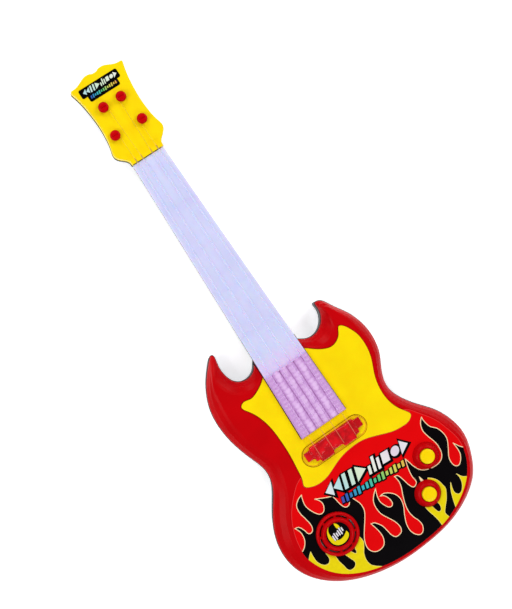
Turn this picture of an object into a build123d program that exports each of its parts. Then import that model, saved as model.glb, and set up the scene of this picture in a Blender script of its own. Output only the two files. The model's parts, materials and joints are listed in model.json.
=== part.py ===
from build123d import *
import math
import os

# Toy electric guitar lying on its back.  Millimetres.  The origin is on the flat back of the
# body, under the bridge, on the centre line of the neck.  +X is the treble side, +Y runs along
# the neck towards the headstock, +Z comes out of the front face.

# ---------------------------------------------------------------- driving dimensions
WALL = 2.2                 # moulded wall of the body shells
SEAM_Z = 17.0              # top edge of the back shell
SEAM_GAP = 0.25            # shadow line between the two shells
RIM_Z = 20.0               # top of the front shell's upright rim, where its bevel starts
FACE_Z = 30.0              # flat front face of the body
FACE_T = 2.2               # thickness of the front shell's face
LABEL_T = 0.3              # printed film
GUARD_T = 1.2              # pickguard plate
FIT = 0.3                  # gap between pieces that are laid into each other

NECK_END_Y = 16.5          # lower end of the fingerboard, on the body
NUT_Y = 317.5              # upper end of the fingerboard
NECK_HALF_NUT = 16.8       # half width at the nut
NECK_HALF_END = 25.6       # half width at the lower end
NECK_TOP_Z = 34.0          # playing surface
NECK_SPLIT_Z = 16.0        # fingerboard above, neck back below
NECK_BACK_Z = 8.0          # rear of the neck
NECK_WALL = 2.0
NECK_DRAFT = 1.6           # how much narrower each side of the board is at the split
FRET_PITCH = 45.3
FIRST_FRET_Y = 84.0
FRET_COUNT = 5

HEAD_TOP_Z = 30.0
HEAD_SPLIT_Z = 19.0
HEAD_BACK_Z = 10.0
HEAD_WALL = 2.0
HEAD_START_Y = 318.1
HEAD_SHIFT = 1.2           # the headstock's middle lies this far to the treble side of the neck's

PEG_SPOTS = [(-14.7, 349.3), (-9.6, 376.5), (9.6, 376.5), (14.7, 349.3)]
PEG_HEAD_R = 4.9
PEG_POST_R = 2.4
PEG_FIT = 0.06             # radial clearance of a peg in its bore

NUT_X = [-11.6, -5.1, 5.1, 11.6]
BRIDGE_X = [-19.6, -5.8, 5.8, 19.6]
STRING_R = 0.4
NUT_STRING_Z = 35.3
BRIDGE_STRING_Z = 37.2

BUTTON_SPOTS = {"upper": (66.2, -66.4), "lower": (47.8, -97.9)}
BUTTON_R = 7.2
BUTTON_BORE_R = 7.7
BOSS_BASE_R = 13.2
BOSS_TOP_Z = 35.2
BUTTON_TOP_Z = 37.6
BUTTON_TRAVEL = 2.0

SPEAKER_XY = (-46.5, -79.0)
GRILLE_R = 21.2
GRILLE_NECK_R = 18.3       # hole in the face that the grille drops into
SLOT_R = 17.1
SLOT_W = 1.7
SLOT_COUNT = 8
SLOT_ARC = 33.0
SPEAKER_RING_Z = 23.0      # lower edge of the ring that seats the speaker

BOARD_Z = 12.0             # underside of the circuit board
BOARD_T = 1.6
BOARD_X = (34.0, 84.0)
BOARD_Y = (-112.0, -54.0)

BAY_X = (-20.0, 30.0)      # battery bay, inside
BAY_Y = (-108.6, -56.4)
BAY_TOP_Z = 18.4
BAY_WALL = 2.4
BAY_CEILING = 1.6
DOOR_END_Y = -121.0
DOOR_AXIS_Y = -57.0
DOOR_AXIS_Z = 1.4
DOOR_Z = (0.4, 2.3)
DOOR_PIN_R = 0.8
DOOR_SCREW = (5.0, -115.6)
CELL_R = 7.1
CELL_LENGTH = 49.5
CELL_Z = 10.6
CELL_PITCH = 15.4

SWITCH_XY = (66.0, -30.0)
SWITCH_TRAVEL = 4.0

SCREW_R = 1.4
SCREW_HEAD_R = 2.8
SCREW_HEAD_H = 1.8
BODY_SCREWS = [(-65, 87), (69, 87), (-59, 44), (62, 34), (-62, -30), (78, -40),
               (-74, -90), (92, -90), (-32, -119), (52, -119)]
NECK_SCREWS = [(-13, 42), (13, 42), (-13, 78), (13, 78)]
HEAD_SCREWS = [(-18, 333), (18, 333), (-16.5, 392), (16.5, 392)]

WIRE_R = 0.7
LIGHT_WIRE_Z = 20.4        # height at which the light wires enter the neck

# Stations round the body: a point on the outer rim and the matching point on the ridge where
# the bevel meets the flat face.
STATIONS = [
    ((-54.5, 128.5), (-66.0, 109.2)), ((-63.8, 118.6), (-67.8, 104.2)),
    ((-76.2, 100.8), (-69.5, 95.0)), ((-82.0, 84.0), (-71.5, 80.0)),
    ((-83.3, 68.0), (-71.8, 66.0)), ((-80.2, 44.6), (-69.0, 46.8)),
    ((-74.2, 25.2), (-62.5, 26.8)), ((-69.5, 8.0), (-57.7, 8.0)),
    ((-72.0, -6.8), (-59.8, -5.0)), ((-79.5, -19.7), (-65.3, -20.5)),
    ((-89.5, -34.5), (-75.5, -38.0)), ((-97.0, -51.0), (-81.5, -53.0)),
    ((-100.0, -69.0), (-85.5, -72.0)), ((-97.0, -88.2), (-83.5, -87.2)),
    ((-87.4, -105.3), (-75.2, -103.6)), ((-69.6, -121.5), (-61.6, -117.8)),
    ((-41.8, -134.6), (-39.4, -128.8)), ((-10.1, -141.2), (-10.0, -135.6)),
    ((22.0, -141.6), (21.2, -136.0)), ((52.3, -137.6), (50.4, -131.8)),
    ((78.7, -127.2), (74.0, -121.4)), ((97.8, -111.6), (91.0, -107.2)),
    ((107.7, -92.6), (100.4, -89.9)), ((112.0, -73.0), (103.5, -73.0)),
    ((108.4, -53.7), (99.3, -54.6)), ((100.5, -37.7), (92.8, -38.6)),
    ((89.0, -23.4), (81.8, -24.2)), ((79.0, -9.0), (72.0, -10.0)),
    ((73.5, 6.0), (65.5, 6.5)), ((76.8, 23.7), (68.4, 24.8)),
    ((84.5, 39.3), (75.8, 41.0)), ((88.0, 56.0), (79.4, 56.5)),
    ((86.5, 73.0), (78.5, 72.0)), ((80.0, 90.0), (74.5, 88.0)),
    ((70.0, 106.0), (67.5, 101.0)), ((60.8, 115.8), (63.2, 106.8)),
    ((58.6, 115.6), (62.0, 107.0)), ((58.0, 111.6), (61.6, 103.6)),
    ((57.2, 103.6), (61.6, 95.6)), ((52.0, 95.6), (58.4, 84.8)),
    ((42.6, 90.6), (47.5, 77.0)), ((32.6, 91.6), (35.0, 80.0)),
    ((25.0, 96.4), (25.0, 86.6)), ((15.0, 103.4), (12.0, 91.0)),
    ((0.0, 107.5), (0.0, 92.5)), ((-14.0, 107.5), (-12.0, 91.0)),
    ((-20.8, 102.6), (-22.6, 86.6)), ((-26.2, 95.2), (-29.8, 82.0)),
    ((-37.0, 91.4), (-41.0, 80.2)), ((-47.4, 96.2), (-51.4, 84.4)),
    ((-51.6, 105.0), (-59.0, 91.5)), ((-52.6, 114.5), (-63.4, 101.5)),
    ((-51.2, 123.2), (-64.3, 106.3)), ((-52.0, 129.0), (-64.8, 109.4)),
]

# Rounded profile of the bevel: fraction of the way from rim to ridge, and height.
BEVEL = [(0.0, RIM_Z), (0.06, 21.6), (0.38, 25.8), (0.78, 29.2), (1.0, FACE_Z)]
CAVITY_RIM = 0.25          # where the cavity's wall stands, as a fraction from rim to ridge
CAVITY_FACE = 1.05
BACK_EDGE = 0.12           # how far the back draws in, in the same fraction
BACK_EDGE_Z = 15.0         # the back's sides draw in from here down to the back

GUARD_POINTS = [
    (-23.5, 86.3), (-29.5, 81.5), (-36.5, 77.8), (-45.0, 75.7), (-52.5, 76.8), (-56.0, 74.6),
    (-53.0, 67.0), (-48.5, 59.0), (-44.3, 45.0), (-42.7, 25.5), (-43.3, 6.0), (-44.8, -8.0),
    (-46.6, -17.5), (-48.0, -22.6), (-43.5, -26.3), (-34.0, -28.4), (-24.5, -27.3), (-15.0, -23.7),
    (-5.0, -20.0), (4.5, -18.0), (14.0, -17.3), (23.5, -18.0), (33.5, -21.0), (43.0, -24.6),
    (53.0, -28.0), (62.5, -29.2), (71.0, -28.3), (75.6, -23.8), (74.0, -20.0), (69.0, -12.5),
    (65.6, -4.5), (63.8, 10.5), (65.0, 20.5), (68.0, 30.5), (72.0, 40.0), (74.5, 48.5),
    (75.5, 60.5), (74.0, 71.0), (70.7, 78.5), (67.0, 84.0), (63.9, 85.8), (61.0, 82.5),
    (57.5, 77.5), (53.0, 74.7), (47.5, 73.5), (42.5, 74.5), (36.0, 77.8), (30.0, 82.3),
    (24.5, 86.8), (0.0, 93.0),
]
GUARD_OUTWARD = -1.0        # the pickguard's points run anticlockwise
LABEL_POINTS = [
    (-84.3, -75.5), (-83.0, -64.0), (-79.5, -51.0), (-74.0, -39.5), (-66.0, -29.0), (-59.0, -22.0),
    (-53.0, -17.0), (-40.0, -12.0), (10.0, -6.0), (60.0, -12.0), (77.5, -20.5), (81.2, -25.5),
    (87.5, -34.0), (93.5, -43.5), (98.0, -55.5), (102.0, -72.0), (99.3, -89.0), (90.0, -105.6),
    (73.5, -119.6), (50.4, -130.0), (21.2, -134.3), (-10.2, -133.9), (-38.8, -127.2),
    (-60.6, -116.0), (-74.0, -102.6), (-82.0, -87.0),
]


# ---------------------------------------------------------------- shared outlines and pieces
def body_section(fraction):
    """Points round the body, a fraction of the way from the rim to the ridge."""
    points = []
    for (rim_x, rim_y), (ridge_x, ridge_y) in STATIONS:
        x = rim_x + fraction * (ridge_x - rim_x)
        y = rim_y + fraction * (ridge_y - rim_y)
        points.append((x, y))
    return points


def neck_half(y):
    """Half width of the neck at y."""
    return NECK_HALF_NUT + (NUT_Y - y) * (NECK_HALF_END - NECK_HALF_NUT) / (NUT_Y - NECK_END_Y)


def neck_plan(y_low, y_high, grow=0.0):
    """Four corners of the neck's plan between two stations, wider by grow on each side."""
    low = neck_half(y_low) + grow
    high = neck_half(y_high) + grow
    return [(-low, y_low), (low, y_low), (high, y_high), (-high, y_high)]


def fillet_if_possible(part, edges, radius):
    """Round the edges by radius, or by less where the shape doesn't leave room for it."""
    for attempt in (radius, 0.6 * radius, 0.35 * radius):
        try:
            return part.fillet(attempt, edges)
        except Exception:
            continue
    return part


def save(part, name):
    part.label = name
    export_step(part, "parts/" + name + ".step")


def screw_group(spots, head_z, length):
    """Pan-head screws driven upwards from the back, as one part of separate solids."""
    with BuildPart() as group:
        with BuildSketch(Plane.XY.offset(head_z)):
            with Locations(*spots):
                Circle(SCREW_HEAD_R)
        extrude(amount=SCREW_HEAD_H)
        with BuildSketch(Plane.XY.offset(head_z + SCREW_HEAD_H)):
            with Locations(*spots):
                Circle(SCREW_R)
        extrude(amount=length)
        with BuildSketch(Plane.XY.offset(head_z)):
            with Locations(*spots):
                Rectangle(3.2, 0.7)
                Rectangle(0.7, 3.2)
        extrude(amount=0.9, mode=Mode.SUBTRACT)
    return group.part


os.makedirs("parts", exist_ok=True)


# ---------------------------------------------------------------- back shell
def make_back_shell():
    bay_mid_x = sum(BAY_X) / 2
    bay_width = BAY_X[1] - BAY_X[0]
    bay_mid_y = sum(BAY_Y) / 2
    bay_length = BAY_Y[1] - BAY_Y[0]
    door_length = DOOR_AXIS_Y + 1.8 - DOOR_END_Y
    door_mid_y = (DOOR_AXIS_Y + 1.8 + DOOR_END_Y) / 2
    with BuildPart() as shell:
        for fraction, height in ((BACK_EDGE, 0.0), (0.0, BACK_EDGE_Z)):
            with BuildSketch(Plane.XY.offset(height)):
                with BuildLine():
                    Spline(*body_section(fraction), periodic=True)
                make_face()
        loft(ruled=True)
        with BuildSketch(Plane.XY.offset(BACK_EDGE_Z)):
            with BuildLine():
                Spline(*body_section(0.0), periodic=True)
            make_face()
        extrude(amount=SEAM_Z - BACK_EDGE_Z)
        with BuildSketch(Plane.XY.offset(WALL)):
            with BuildLine():
                Spline(*body_section(CAVITY_RIM), periodic=True)
            make_face()
        extrude(amount=SEAM_Z, mode=Mode.SUBTRACT)
        # screw bosses, board posts, neck bosses
        with BuildSketch(Plane.XY.offset(WALL)):
            with Locations(*BODY_SCREWS):
                Circle(4.2)
        extrude(amount=SEAM_Z - WALL)
        with BuildSketch(Plane.XY.offset(WALL)):
            with Locations(*NECK_SCREWS):
                Circle(4.6)
        extrude(amount=NECK_BACK_Z - WALL)
        with BuildSketch(Plane.XY.offset(WALL)):
            with Locations(*board_posts()):
                Circle(3.0)
        extrude(amount=BOARD_Z - WALL)
        # battery bay: walls and ceiling
        with BuildSketch(Plane.XY.offset(WALL)):
            with Locations((bay_mid_x, bay_mid_y)):
                Rectangle(bay_width + 2 * BAY_WALL, bay_length + 2 * BAY_WALL)
        extrude(amount=BAY_TOP_Z + BAY_CEILING - WALL)
        # walls that carry the door's side edges beyond the bay, and its screw boss
        with BuildSketch(Plane.XY.offset(WALL)):
            with Locations((DOOR_SCREW[0], (DOOR_END_Y + BAY_Y[0]) / 2)):
                Rectangle(bay_width + 2 * BAY_WALL, BAY_Y[0] - DOOR_END_Y + 2 * BAY_WALL)
        extrude(amount=4.5)
        with BuildSketch(Plane.XY):
            with Locations((bay_mid_x, bay_mid_y)):
                Rectangle(bay_width, bay_length)
        extrude(amount=BAY_TOP_Z, mode=Mode.SUBTRACT)
        with BuildSketch(Plane.XY):
            with Locations((bay_mid_x, door_mid_y)):
                Rectangle(bay_width, door_length)
        extrude(amount=4.4, mode=Mode.SUBTRACT)
        with BuildSketch(Plane.XY.offset(4.4)):
            with Locations(DOOR_SCREW):
                Circle(4.0)
        extrude(amount=7.0)
        with BuildSketch(Plane.XY):
            with Locations(DOOR_SCREW):
                Circle(2.0)
        extrude(amount=10.5, mode=Mode.SUBTRACT)
        # bores for the door's two hinge pins
        with BuildSketch(Plane.YZ.offset(BAY_X[0] - 1.5)):
            with Locations((DOOR_AXIS_Y, DOOR_AXIS_Z)):
                Circle(DOOR_PIN_R + 0.06)
        extrude(amount=bay_width + 3.0, mode=Mode.SUBTRACT)
        # notch where the neck leaves the body
        with BuildSketch(Plane.XY.offset(NECK_BACK_Z - FIT)):
            Polygon(*neck_plan(84.0, 125.0, grow=FIT), align=None)
        extrude(amount=SEAM_Z, mode=Mode.SUBTRACT)
        # power switch: thick pad, finger pocket and slot
        with BuildSketch(Plane.XY.offset(WALL)):
            with Locations(SWITCH_XY):
                Rectangle(24, 13)
        extrude(amount=2.4)
        with BuildSketch(Plane.XY):
            with Locations(SWITCH_XY):
                RectangleRounded(20, 9.4, 2.0)
        extrude(amount=2.6, mode=Mode.SUBTRACT)
        with BuildSketch(Plane.XY):
            with Locations(SWITCH_XY):
                Rectangle(9.0, 3.8)
        extrude(amount=5.0, mode=Mode.SUBTRACT)
        # screw holes with counterbores
        with BuildSketch(Plane.XY):
            with Locations(*BODY_SCREWS, *NECK_SCREWS):
                Circle(1.7)
        extrude(amount=SEAM_Z, mode=Mode.SUBTRACT)
        with BuildSketch(Plane.XY):
            with Locations(*BODY_SCREWS, *NECK_SCREWS):
                Circle(3.2)
        extrude(amount=2.6, mode=Mode.SUBTRACT)
        with BuildSketch(Plane.XY.offset(BOARD_Z)):
            with Locations(*board_posts()):
                Circle(1.0)
        extrude(amount=-6.0, mode=Mode.SUBTRACT)
    return shell.part


def board_posts():
    inset = 4.5
    xs = (BOARD_X[0] + inset, BOARD_X[1] - inset)
    ys = (BOARD_Y[0] + inset, BOARD_Y[1] - inset)
    return [(x, y) for x in xs for y in ys]


# ---------------------------------------------------------------- front shell
def make_front_shell():
    with BuildPart() as shell:
        with BuildSketch(Plane.XY.offset(SEAM_Z + SEAM_GAP)):
            with BuildLine():
                Spline(*body_section(0.0), periodic=True)
            make_face()
        extrude(amount=RIM_Z - SEAM_Z - SEAM_GAP)
        for fraction, height in BEVEL:
            with BuildSketch(Plane.XY.offset(height)):
                with BuildLine():
                    Spline(*body_section(fraction), periodic=True)
                make_face()
        loft(ruled=True)
        # raised collars round the two buttons
        for x, y in BUTTON_SPOTS.values():
            with BuildSketch(Plane(origin=(x, y, FACE_Z), x_dir=(1, 0, 0), z_dir=(0, -1, 0))):
                with BuildLine():
                    Polyline((BUTTON_BORE_R, BOSS_TOP_Z - FACE_Z - 0.5), (BUTTON_BORE_R, -1.0),
                             (BOSS_BASE_R, -1.0), (BOSS_BASE_R, 0.0))
                    Spline((BOSS_BASE_R, 0.0), (12.0, 2.6), (10.3, 4.6), (8.7, 5.2),
                           (BUTTON_BORE_R, BOSS_TOP_Z - FACE_Z - 0.5))
                make_face()
            revolve(axis=Axis((x, y, 0), (0, 0, 1)))
        # cavity
        with BuildSketch(Plane.XY.offset(SEAM_Z)):
            with BuildLine():
                Spline(*body_section(CAVITY_RIM), periodic=True)
            make_face()
        with BuildSketch(Plane.XY.offset(FACE_Z - FACE_T)):
            with BuildLine():
                Spline(*body_section(CAVITY_FACE), periodic=True)
            make_face()
        loft(ruled=True, mode=Mode.SUBTRACT)
        # screw bosses and the ring that seats the speaker
        with BuildSketch(Plane.XY.offset(SEAM_Z + SEAM_GAP)):
            with Locations(*BODY_SCREWS):
                Circle(3.6)
        extrude(amount=FACE_Z - FACE_T - SEAM_Z)
        with BuildSketch(Plane.XY.offset(SPEAKER_RING_Z)):
            with Locations(SPEAKER_XY):
                Circle(22.4)
                Circle(20.4, mode=Mode.SUBTRACT)
        extrude(amount=FACE_Z - FACE_T - SPEAKER_RING_Z)
        with BuildSketch(Plane.XY.offset(SEAM_Z)):
            with Locations(*BODY_SCREWS):
                Circle(SCREW_R + 0.05)
        extrude(amount=7.0, mode=Mode.SUBTRACT)
        # openings: neck, grille, buttons
        with BuildSketch(Plane.XY.offset(SEAM_Z)):
            Polygon(*neck_plan(NECK_END_Y - FIT, 125.0, grow=FIT), align=None)
        extrude(amount=30.0, mode=Mode.SUBTRACT)
        with BuildSketch(Plane.XY.offset(FACE_Z - 5.0)):
            with Locations(SPEAKER_XY):
                Circle(GRILLE_NECK_R)
            with Locations(*BUTTON_SPOTS.values()):
                Circle(BUTTON_BORE_R)
        extrude(amount=20.0, mode=Mode.SUBTRACT)
    return shell.part


# ---------------------------------------------------------------- pickguard and printed film
def make_pickguard():
    with BuildPart() as guard:
        with BuildSketch(Plane.XY.offset(FACE_Z)):
            with BuildLine():
                Spline(*GUARD_POINTS, periodic=True)
            make_face()
            Polygon(*neck_plan(NECK_END_Y - FIT, 125.0, grow=FIT), align=None, mode=Mode.SUBTRACT)
        extrude(amount=GUARD_T)
        # raised oval line round the bridge
        with BuildSketch(Plane.XY.offset(FACE_Z + GUARD_T)):
            with Locations((-0.3, -2.6)):
                SlotOverall(72.0, 22.4)
                SlotOverall(69.4, 19.8, mode=Mode.SUBTRACT)
        extrude(amount=-0.5, mode=Mode.SUBTRACT)
    return guard.part


def make_label():
    with BuildPart() as label:
        with BuildSketch(Plane.XY.offset(FACE_Z)):
            with BuildLine():
                Spline(*LABEL_POINTS, periodic=True)
            make_face()
            with Locations(SPEAKER_XY):
                Circle(GRILLE_R + 0.2, mode=Mode.SUBTRACT)
            with Locations(*BUTTON_SPOTS.values()):
                Circle(BOSS_BASE_R + 0.2, mode=Mode.SUBTRACT)
        extrude(amount=LABEL_T)
        with BuildSketch(Plane.XY.offset(FACE_Z)):
            with BuildLine():
                Spline(*grown_guard(0.5), periodic=True)
            make_face()
        extrude(amount=LABEL_T, mode=Mode.SUBTRACT)
    return label.part


def grown_guard(grow):
    """The pickguard's points, each moved outwards by grow along its local normal."""
    points = []
    count = len(GUARD_POINTS)
    for i, (x, y) in enumerate(GUARD_POINTS):
        x0, y0 = GUARD_POINTS[i - 1]
        x1, y1 = GUARD_POINTS[(i + 1) % count]
        share = GUARD_OUTWARD * grow / math.hypot(x1 - x0, y1 - y0)
        points.append((x - share * (y1 - y0), y + share * (x1 - x0)))
    return points


# ---------------------------------------------------------------- neck
def make_fingerboard():
    with BuildPart() as board:
        for height, grow in ((NECK_SPLIT_Z, -NECK_DRAFT), (NECK_TOP_Z, 0.0)):
            with BuildSketch(Plane.XY.offset(height)):
                Polygon(*neck_plan(NECK_END_Y, NUT_Y, grow=grow), align=None)
        loft(ruled=True)
        long_edges = board.faces().sort_by(Axis.Z)[-1].edges()
        fillet(long_edges, 0.9)
        with BuildSketch(Plane.XY.offset(NECK_SPLIT_Z)):
            inner = neck_plan(NECK_END_Y + NECK_WALL, NUT_Y - NECK_WALL, grow=-NECK_WALL - NECK_DRAFT)
            Polygon(*inner, align=None)
        extrude(amount=NECK_TOP_Z - NECK_SPLIT_Z - NECK_WALL, mode=Mode.SUBTRACT)
        # hole in the lower end for the light wires
        with BuildSketch(xz_plane(NECK_END_Y - 1.0)):
            with Locations((3.0, LIGHT_WIRE_Z)):
                SlotOverall(5.0, 2.4)
        extrude(amount=-4.0, mode=Mode.SUBTRACT)
        # low frets
        for i in range(FRET_COUNT):
            y = FIRST_FRET_Y + i * FRET_PITCH
            with BuildSketch(Plane.XY.offset(NECK_TOP_Z)):
                with Locations((0, y)):
                    Rectangle(2 * neck_half(y) - 3.0, 1.4)
            extrude(amount=0.45)
    return board.part


def neck_back_profile(y, inset):
    """Section of the neck's back at y, in X and Z, smaller by inset all round."""
    top = neck_half(y) - NECK_DRAFT - inset
    bottom = neck_half(y) - NECK_DRAFT - 6.0 - inset
    return [(-top, NECK_SPLIT_Z + (1.0 if inset else 0.0)), (-top, 12.5 + inset / 2),
            (-bottom, NECK_BACK_Z + inset), (bottom, NECK_BACK_Z + inset),
            (top, 12.5 + inset / 2), (top, NECK_SPLIT_Z + (1.0 if inset else 0.0))]


def xz_plane(y):
    return Plane(origin=(0, y, 0), x_dir=(1, 0, 0), z_dir=(0, -1, 0))


def make_neck_back():
    with BuildPart() as back:
        for y in (NECK_END_Y, NUT_Y):
            with BuildSketch(xz_plane(y)):
                Polygon(*neck_back_profile(y, 0.0), align=None)
        loft(ruled=True)
        for y in (NECK_END_Y + NECK_WALL, NUT_Y - NECK_WALL):
            with BuildSketch(xz_plane(y)):
                Polygon(*neck_back_profile(y, NECK_WALL), align=None)
        loft(ruled=True, mode=Mode.SUBTRACT)
        # tongue that the headstock is screwed to
        with BuildSketch(Plane.XY.offset(HEAD_BACK_Z + HEAD_WALL + 0.2)):
            with Locations((0, NUT_Y + 9.0)):
                Rectangle(20.0, 22.0)
        extrude(amount=3.6)
        # bosses for the screws that come through the body's back
        with BuildSketch(Plane.XY.offset(NECK_BACK_Z)):
            with Locations(*NECK_SCREWS):
                Circle(3.6)
        extrude(amount=NECK_SPLIT_Z - NECK_BACK_Z)
        with BuildSketch(Plane.XY.offset(NECK_BACK_Z)):
            with Locations(*NECK_SCREWS):
                Circle(SCREW_R + 0.05)
        extrude(amount=NECK_SPLIT_Z - NECK_BACK_Z, mode=Mode.SUBTRACT)
    return back.part


# ---------------------------------------------------------------- headstock
def head_outline(inset=0.0):
    """The headstock's outline, or the wall's inner face, in the active line context."""
    foot_y = HEAD_START_Y + inset
    side_points = [(17.2, foot_y + 3.4), (19.8, 325.4 + inset / 2), (25.2, 330.4 + inset / 2), (26.8, 333.8),
                   (25.4, 342.0), (23.4, 354.0), (22.8, 365.0), (23.3, 376.0), (24.6, 388.0),
                   (26.6, 397.5), (28.0, 402.6 - inset)]
    crown_points = [(21.5, 405.1), (16.0, 407.2), (9.2, 409.6), (4.2, 409.1), (0.0, 408.0)]
    side = Spline(*[(x - inset, y) for x, y in side_points])
    foot = Line((17.0 - inset, foot_y), side @ 0)
    Line((0, foot_y), foot @ 0)
    corner = ThreePointArc(side @ 1, (27.8 - inset, 404.1 - inset), (26.4 - inset, 404.7 - inset))
    Spline(corner @ 1, *[(x, y - inset) for x, y in crown_points], tangents=[(-1, 0), (-1, 0)])
    mirror(about=Plane.YZ)


def head_plane(height):
    """A level plane whose middle is the middle of the headstock, which sits a little to the treble side."""
    return Plane((HEAD_SHIFT, 0, height))


def make_headstock_front():
    with BuildPart() as head:
        with BuildSketch(head_plane(HEAD_SPLIT_Z)):
            with BuildLine():
                head_outline()
            make_face()
        extrude(amount=HEAD_TOP_Z - HEAD_SPLIT_Z)
        fillet(head.faces().sort_by(Axis.Z)[-1].edges(), 1.0)
        with BuildSketch(head_plane(HEAD_SPLIT_Z)):
            with BuildLine():
                head_outline(HEAD_WALL)
            make_face()
        extrude(amount=HEAD_TOP_Z - HEAD_SPLIT_Z - HEAD_WALL, mode=Mode.SUBTRACT)
        # nut: a ridge with a notch for each string
        with BuildSketch(Plane.XY.offset(HEAD_TOP_Z - 1.0)):
            with Locations((0, HEAD_START_Y + 2.0)):
                Rectangle(33.0, 4.0)
        extrude(amount=NUT_STRING_Z + 0.9 - HEAD_TOP_Z + 1.0)
        with BuildSketch(Plane.XY.offset(NUT_STRING_Z - STRING_R)):
            with Locations(*[(x, HEAD_START_Y + 2.0) for x in NUT_X]):
                Rectangle(1.3, 8.0)
        extrude(amount=4.0, mode=Mode.SUBTRACT)
        # peg bores and screw posts
        with BuildSketch(Plane.XY.offset(HEAD_SPLIT_Z)):
            with Locations(*HEAD_SCREWS):
                Circle(3.2)
        extrude(amount=HEAD_TOP_Z - HEAD_SPLIT_Z - 1.0)
        with BuildSketch(Plane.XY.offset(HEAD_SPLIT_Z)):
            with Locations(*HEAD_SCREWS):
                Circle(SCREW_R + 0.05)
        extrude(amount=6.0, mode=Mode.SUBTRACT)
        with BuildSketch(Plane.XY.offset(HEAD_SPLIT_Z)):
            with Locations(*PEG_SPOTS):
                Circle(PEG_POST_R + PEG_FIT)
        extrude(amount=20.0, mode=Mode.SUBTRACT)
    return head.part


def make_headstock_back():
    with BuildPart() as head:
        with BuildSketch(head_plane(HEAD_BACK_Z)):
            with BuildLine():
                head_outline()
            make_face()
        extrude(amount=HEAD_SPLIT_Z - SEAM_GAP - HEAD_BACK_Z)
        fillet(head.faces().sort_by(Axis.Z)[0].edges(), 1.0)
        with BuildSketch(head_plane(HEAD_BACK_Z + HEAD_WALL)):
            with BuildLine():
                head_outline(HEAD_WALL)
            make_face()
        extrude(amount=20.0, mode=Mode.SUBTRACT)
        with BuildSketch(Plane.XY.offset(HEAD_BACK_Z + HEAD_WALL)):
            with Locations((0, HEAD_START_Y)):
                Rectangle(20.6, 8.0)
        extrude(amount=4.2, mode=Mode.SUBTRACT)
        with BuildSketch(Plane.XY.offset(HEAD_BACK_Z + HEAD_WALL)):
            with Locations(*HEAD_SCREWS):
                Circle(3.4)
        extrude(amount=HEAD_SPLIT_Z - SEAM_GAP - HEAD_BACK_Z - HEAD_WALL)
        with BuildSketch(Plane.XY.offset(HEAD_BACK_Z)):
            with Locations(*HEAD_SCREWS):
                Circle(1.7)
        extrude(amount=12.0, mode=Mode.SUBTRACT)
        with BuildSketch(Plane.XY.offset(HEAD_BACK_Z)):
            with Locations(*HEAD_SCREWS):
                Circle(3.1)
        extrude(amount=2.4, mode=Mode.SUBTRACT)
    return head.part


def make_head_badge():
    with BuildPart() as badge:
        with BuildSketch(Plane.XY.offset(HEAD_TOP_Z)):
            with Locations((-0.5, 396.8)):
                RectangleRounded(41.0, 8.8, 1.6)
            with Locations((0.0, 390.2)):
                RectangleRounded(32.0, 7.4, 1.6)
        extrude(amount=LABEL_T)
    return badge.part


# ---------------------------------------------------------------- tuning pegs and strings
def make_peg(x, y):
    with BuildPart() as peg:
        with BuildSketch(xz_plane(y)):
            with BuildLine():
                Polyline((0, 35.6), (0, 24.5), (PEG_POST_R, 24.5), (PEG_POST_R, 25.0),
                         (3.3, 25.6), (3.3, 27.5), (PEG_POST_R, 27.5), (PEG_POST_R, 31.9),
                         (PEG_HEAD_R, 31.9), (PEG_HEAD_R, 33.6))
                Spline((PEG_HEAD_R, 33.6), (4.4, 34.8), (2.6, 35.5), (0, 35.6))
            make_face()
        revolve(axis=Axis((0, y, 0), (0, 0, 1)))
    turned = Pos(x, 0, 0) * peg.part
    with BuildPart() as slotted:
        add(turned)
        with BuildSketch(Plane.XY.offset(34.9)):
            with Locations((x, y)):
                Rectangle(6.0, 1.1)
        extrude(amount=3.0, mode=Mode.SUBTRACT)
    return slotted.part


def make_string(peg, nut_x, bridge_x):
    """A nylon string from beside its peg, over the nut, to the front of the bridge."""
    side = -1.0 if peg[0] < 0 else 1.0
    start_x = peg[0] - side * (PEG_POST_R + STRING_R + FIT)
    with BuildPart() as string:
        with BuildLine() as route:
            Polyline((start_x, peg[1], 31.0), (nut_x, HEAD_START_Y + 2.0, NUT_STRING_Z + 0.1),
                     (bridge_x, 5.0, BRIDGE_STRING_Z + 0.1), (bridge_x, -8.5, BRIDGE_STRING_Z - 0.5))
        with BuildSketch(Plane(origin=route.line @ 0, z_dir=route.line % 0)):
            Circle(STRING_R)
        sweep(path=route.line, transition=Transition.ROUND)
    return string.part


# ---------------------------------------------------------------- bridge
def make_bridge():
    base_z = FACE_Z + GUARD_T
    with BuildPart() as bridge:
        with BuildSketch(Plane.XY.offset(base_z)):
            with Locations((-0.3, -1.5)):
                Rectangle(50.0, 15.4)
        extrude(amount=4.4)
        with BuildSketch(Plane.XY.offset(base_z)):
            with Locations((-0.5, -0.9)):
                Rectangle(64.0, 9.6)
        extrude(amount=2.8)
        with BuildSketch(Plane.XY.offset(base_z)):
            with Locations((-13.5, -3.5), (12.4, -3.5)):
                Rectangle(14.8, 17.6)
        extrude(amount=5.2)
        top_edges = bridge.edges().filter_by(lambda e: e.center().Z > base_z + 0.2)
        bridge.part = fillet_if_possible(bridge.part, top_edges, 0.9)
    with BuildPart() as grooved:
        add(bridge.part)
        with BuildSketch(Plane.XY.offset(BRIDGE_STRING_Z - 1.4)):
            with Locations(*[(x, -1.0) for x in BRIDGE_X]):
                Rectangle(1.2, 30.0)
        extrude(amount=4.0, mode=Mode.SUBTRACT)
    return grooved.part


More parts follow.
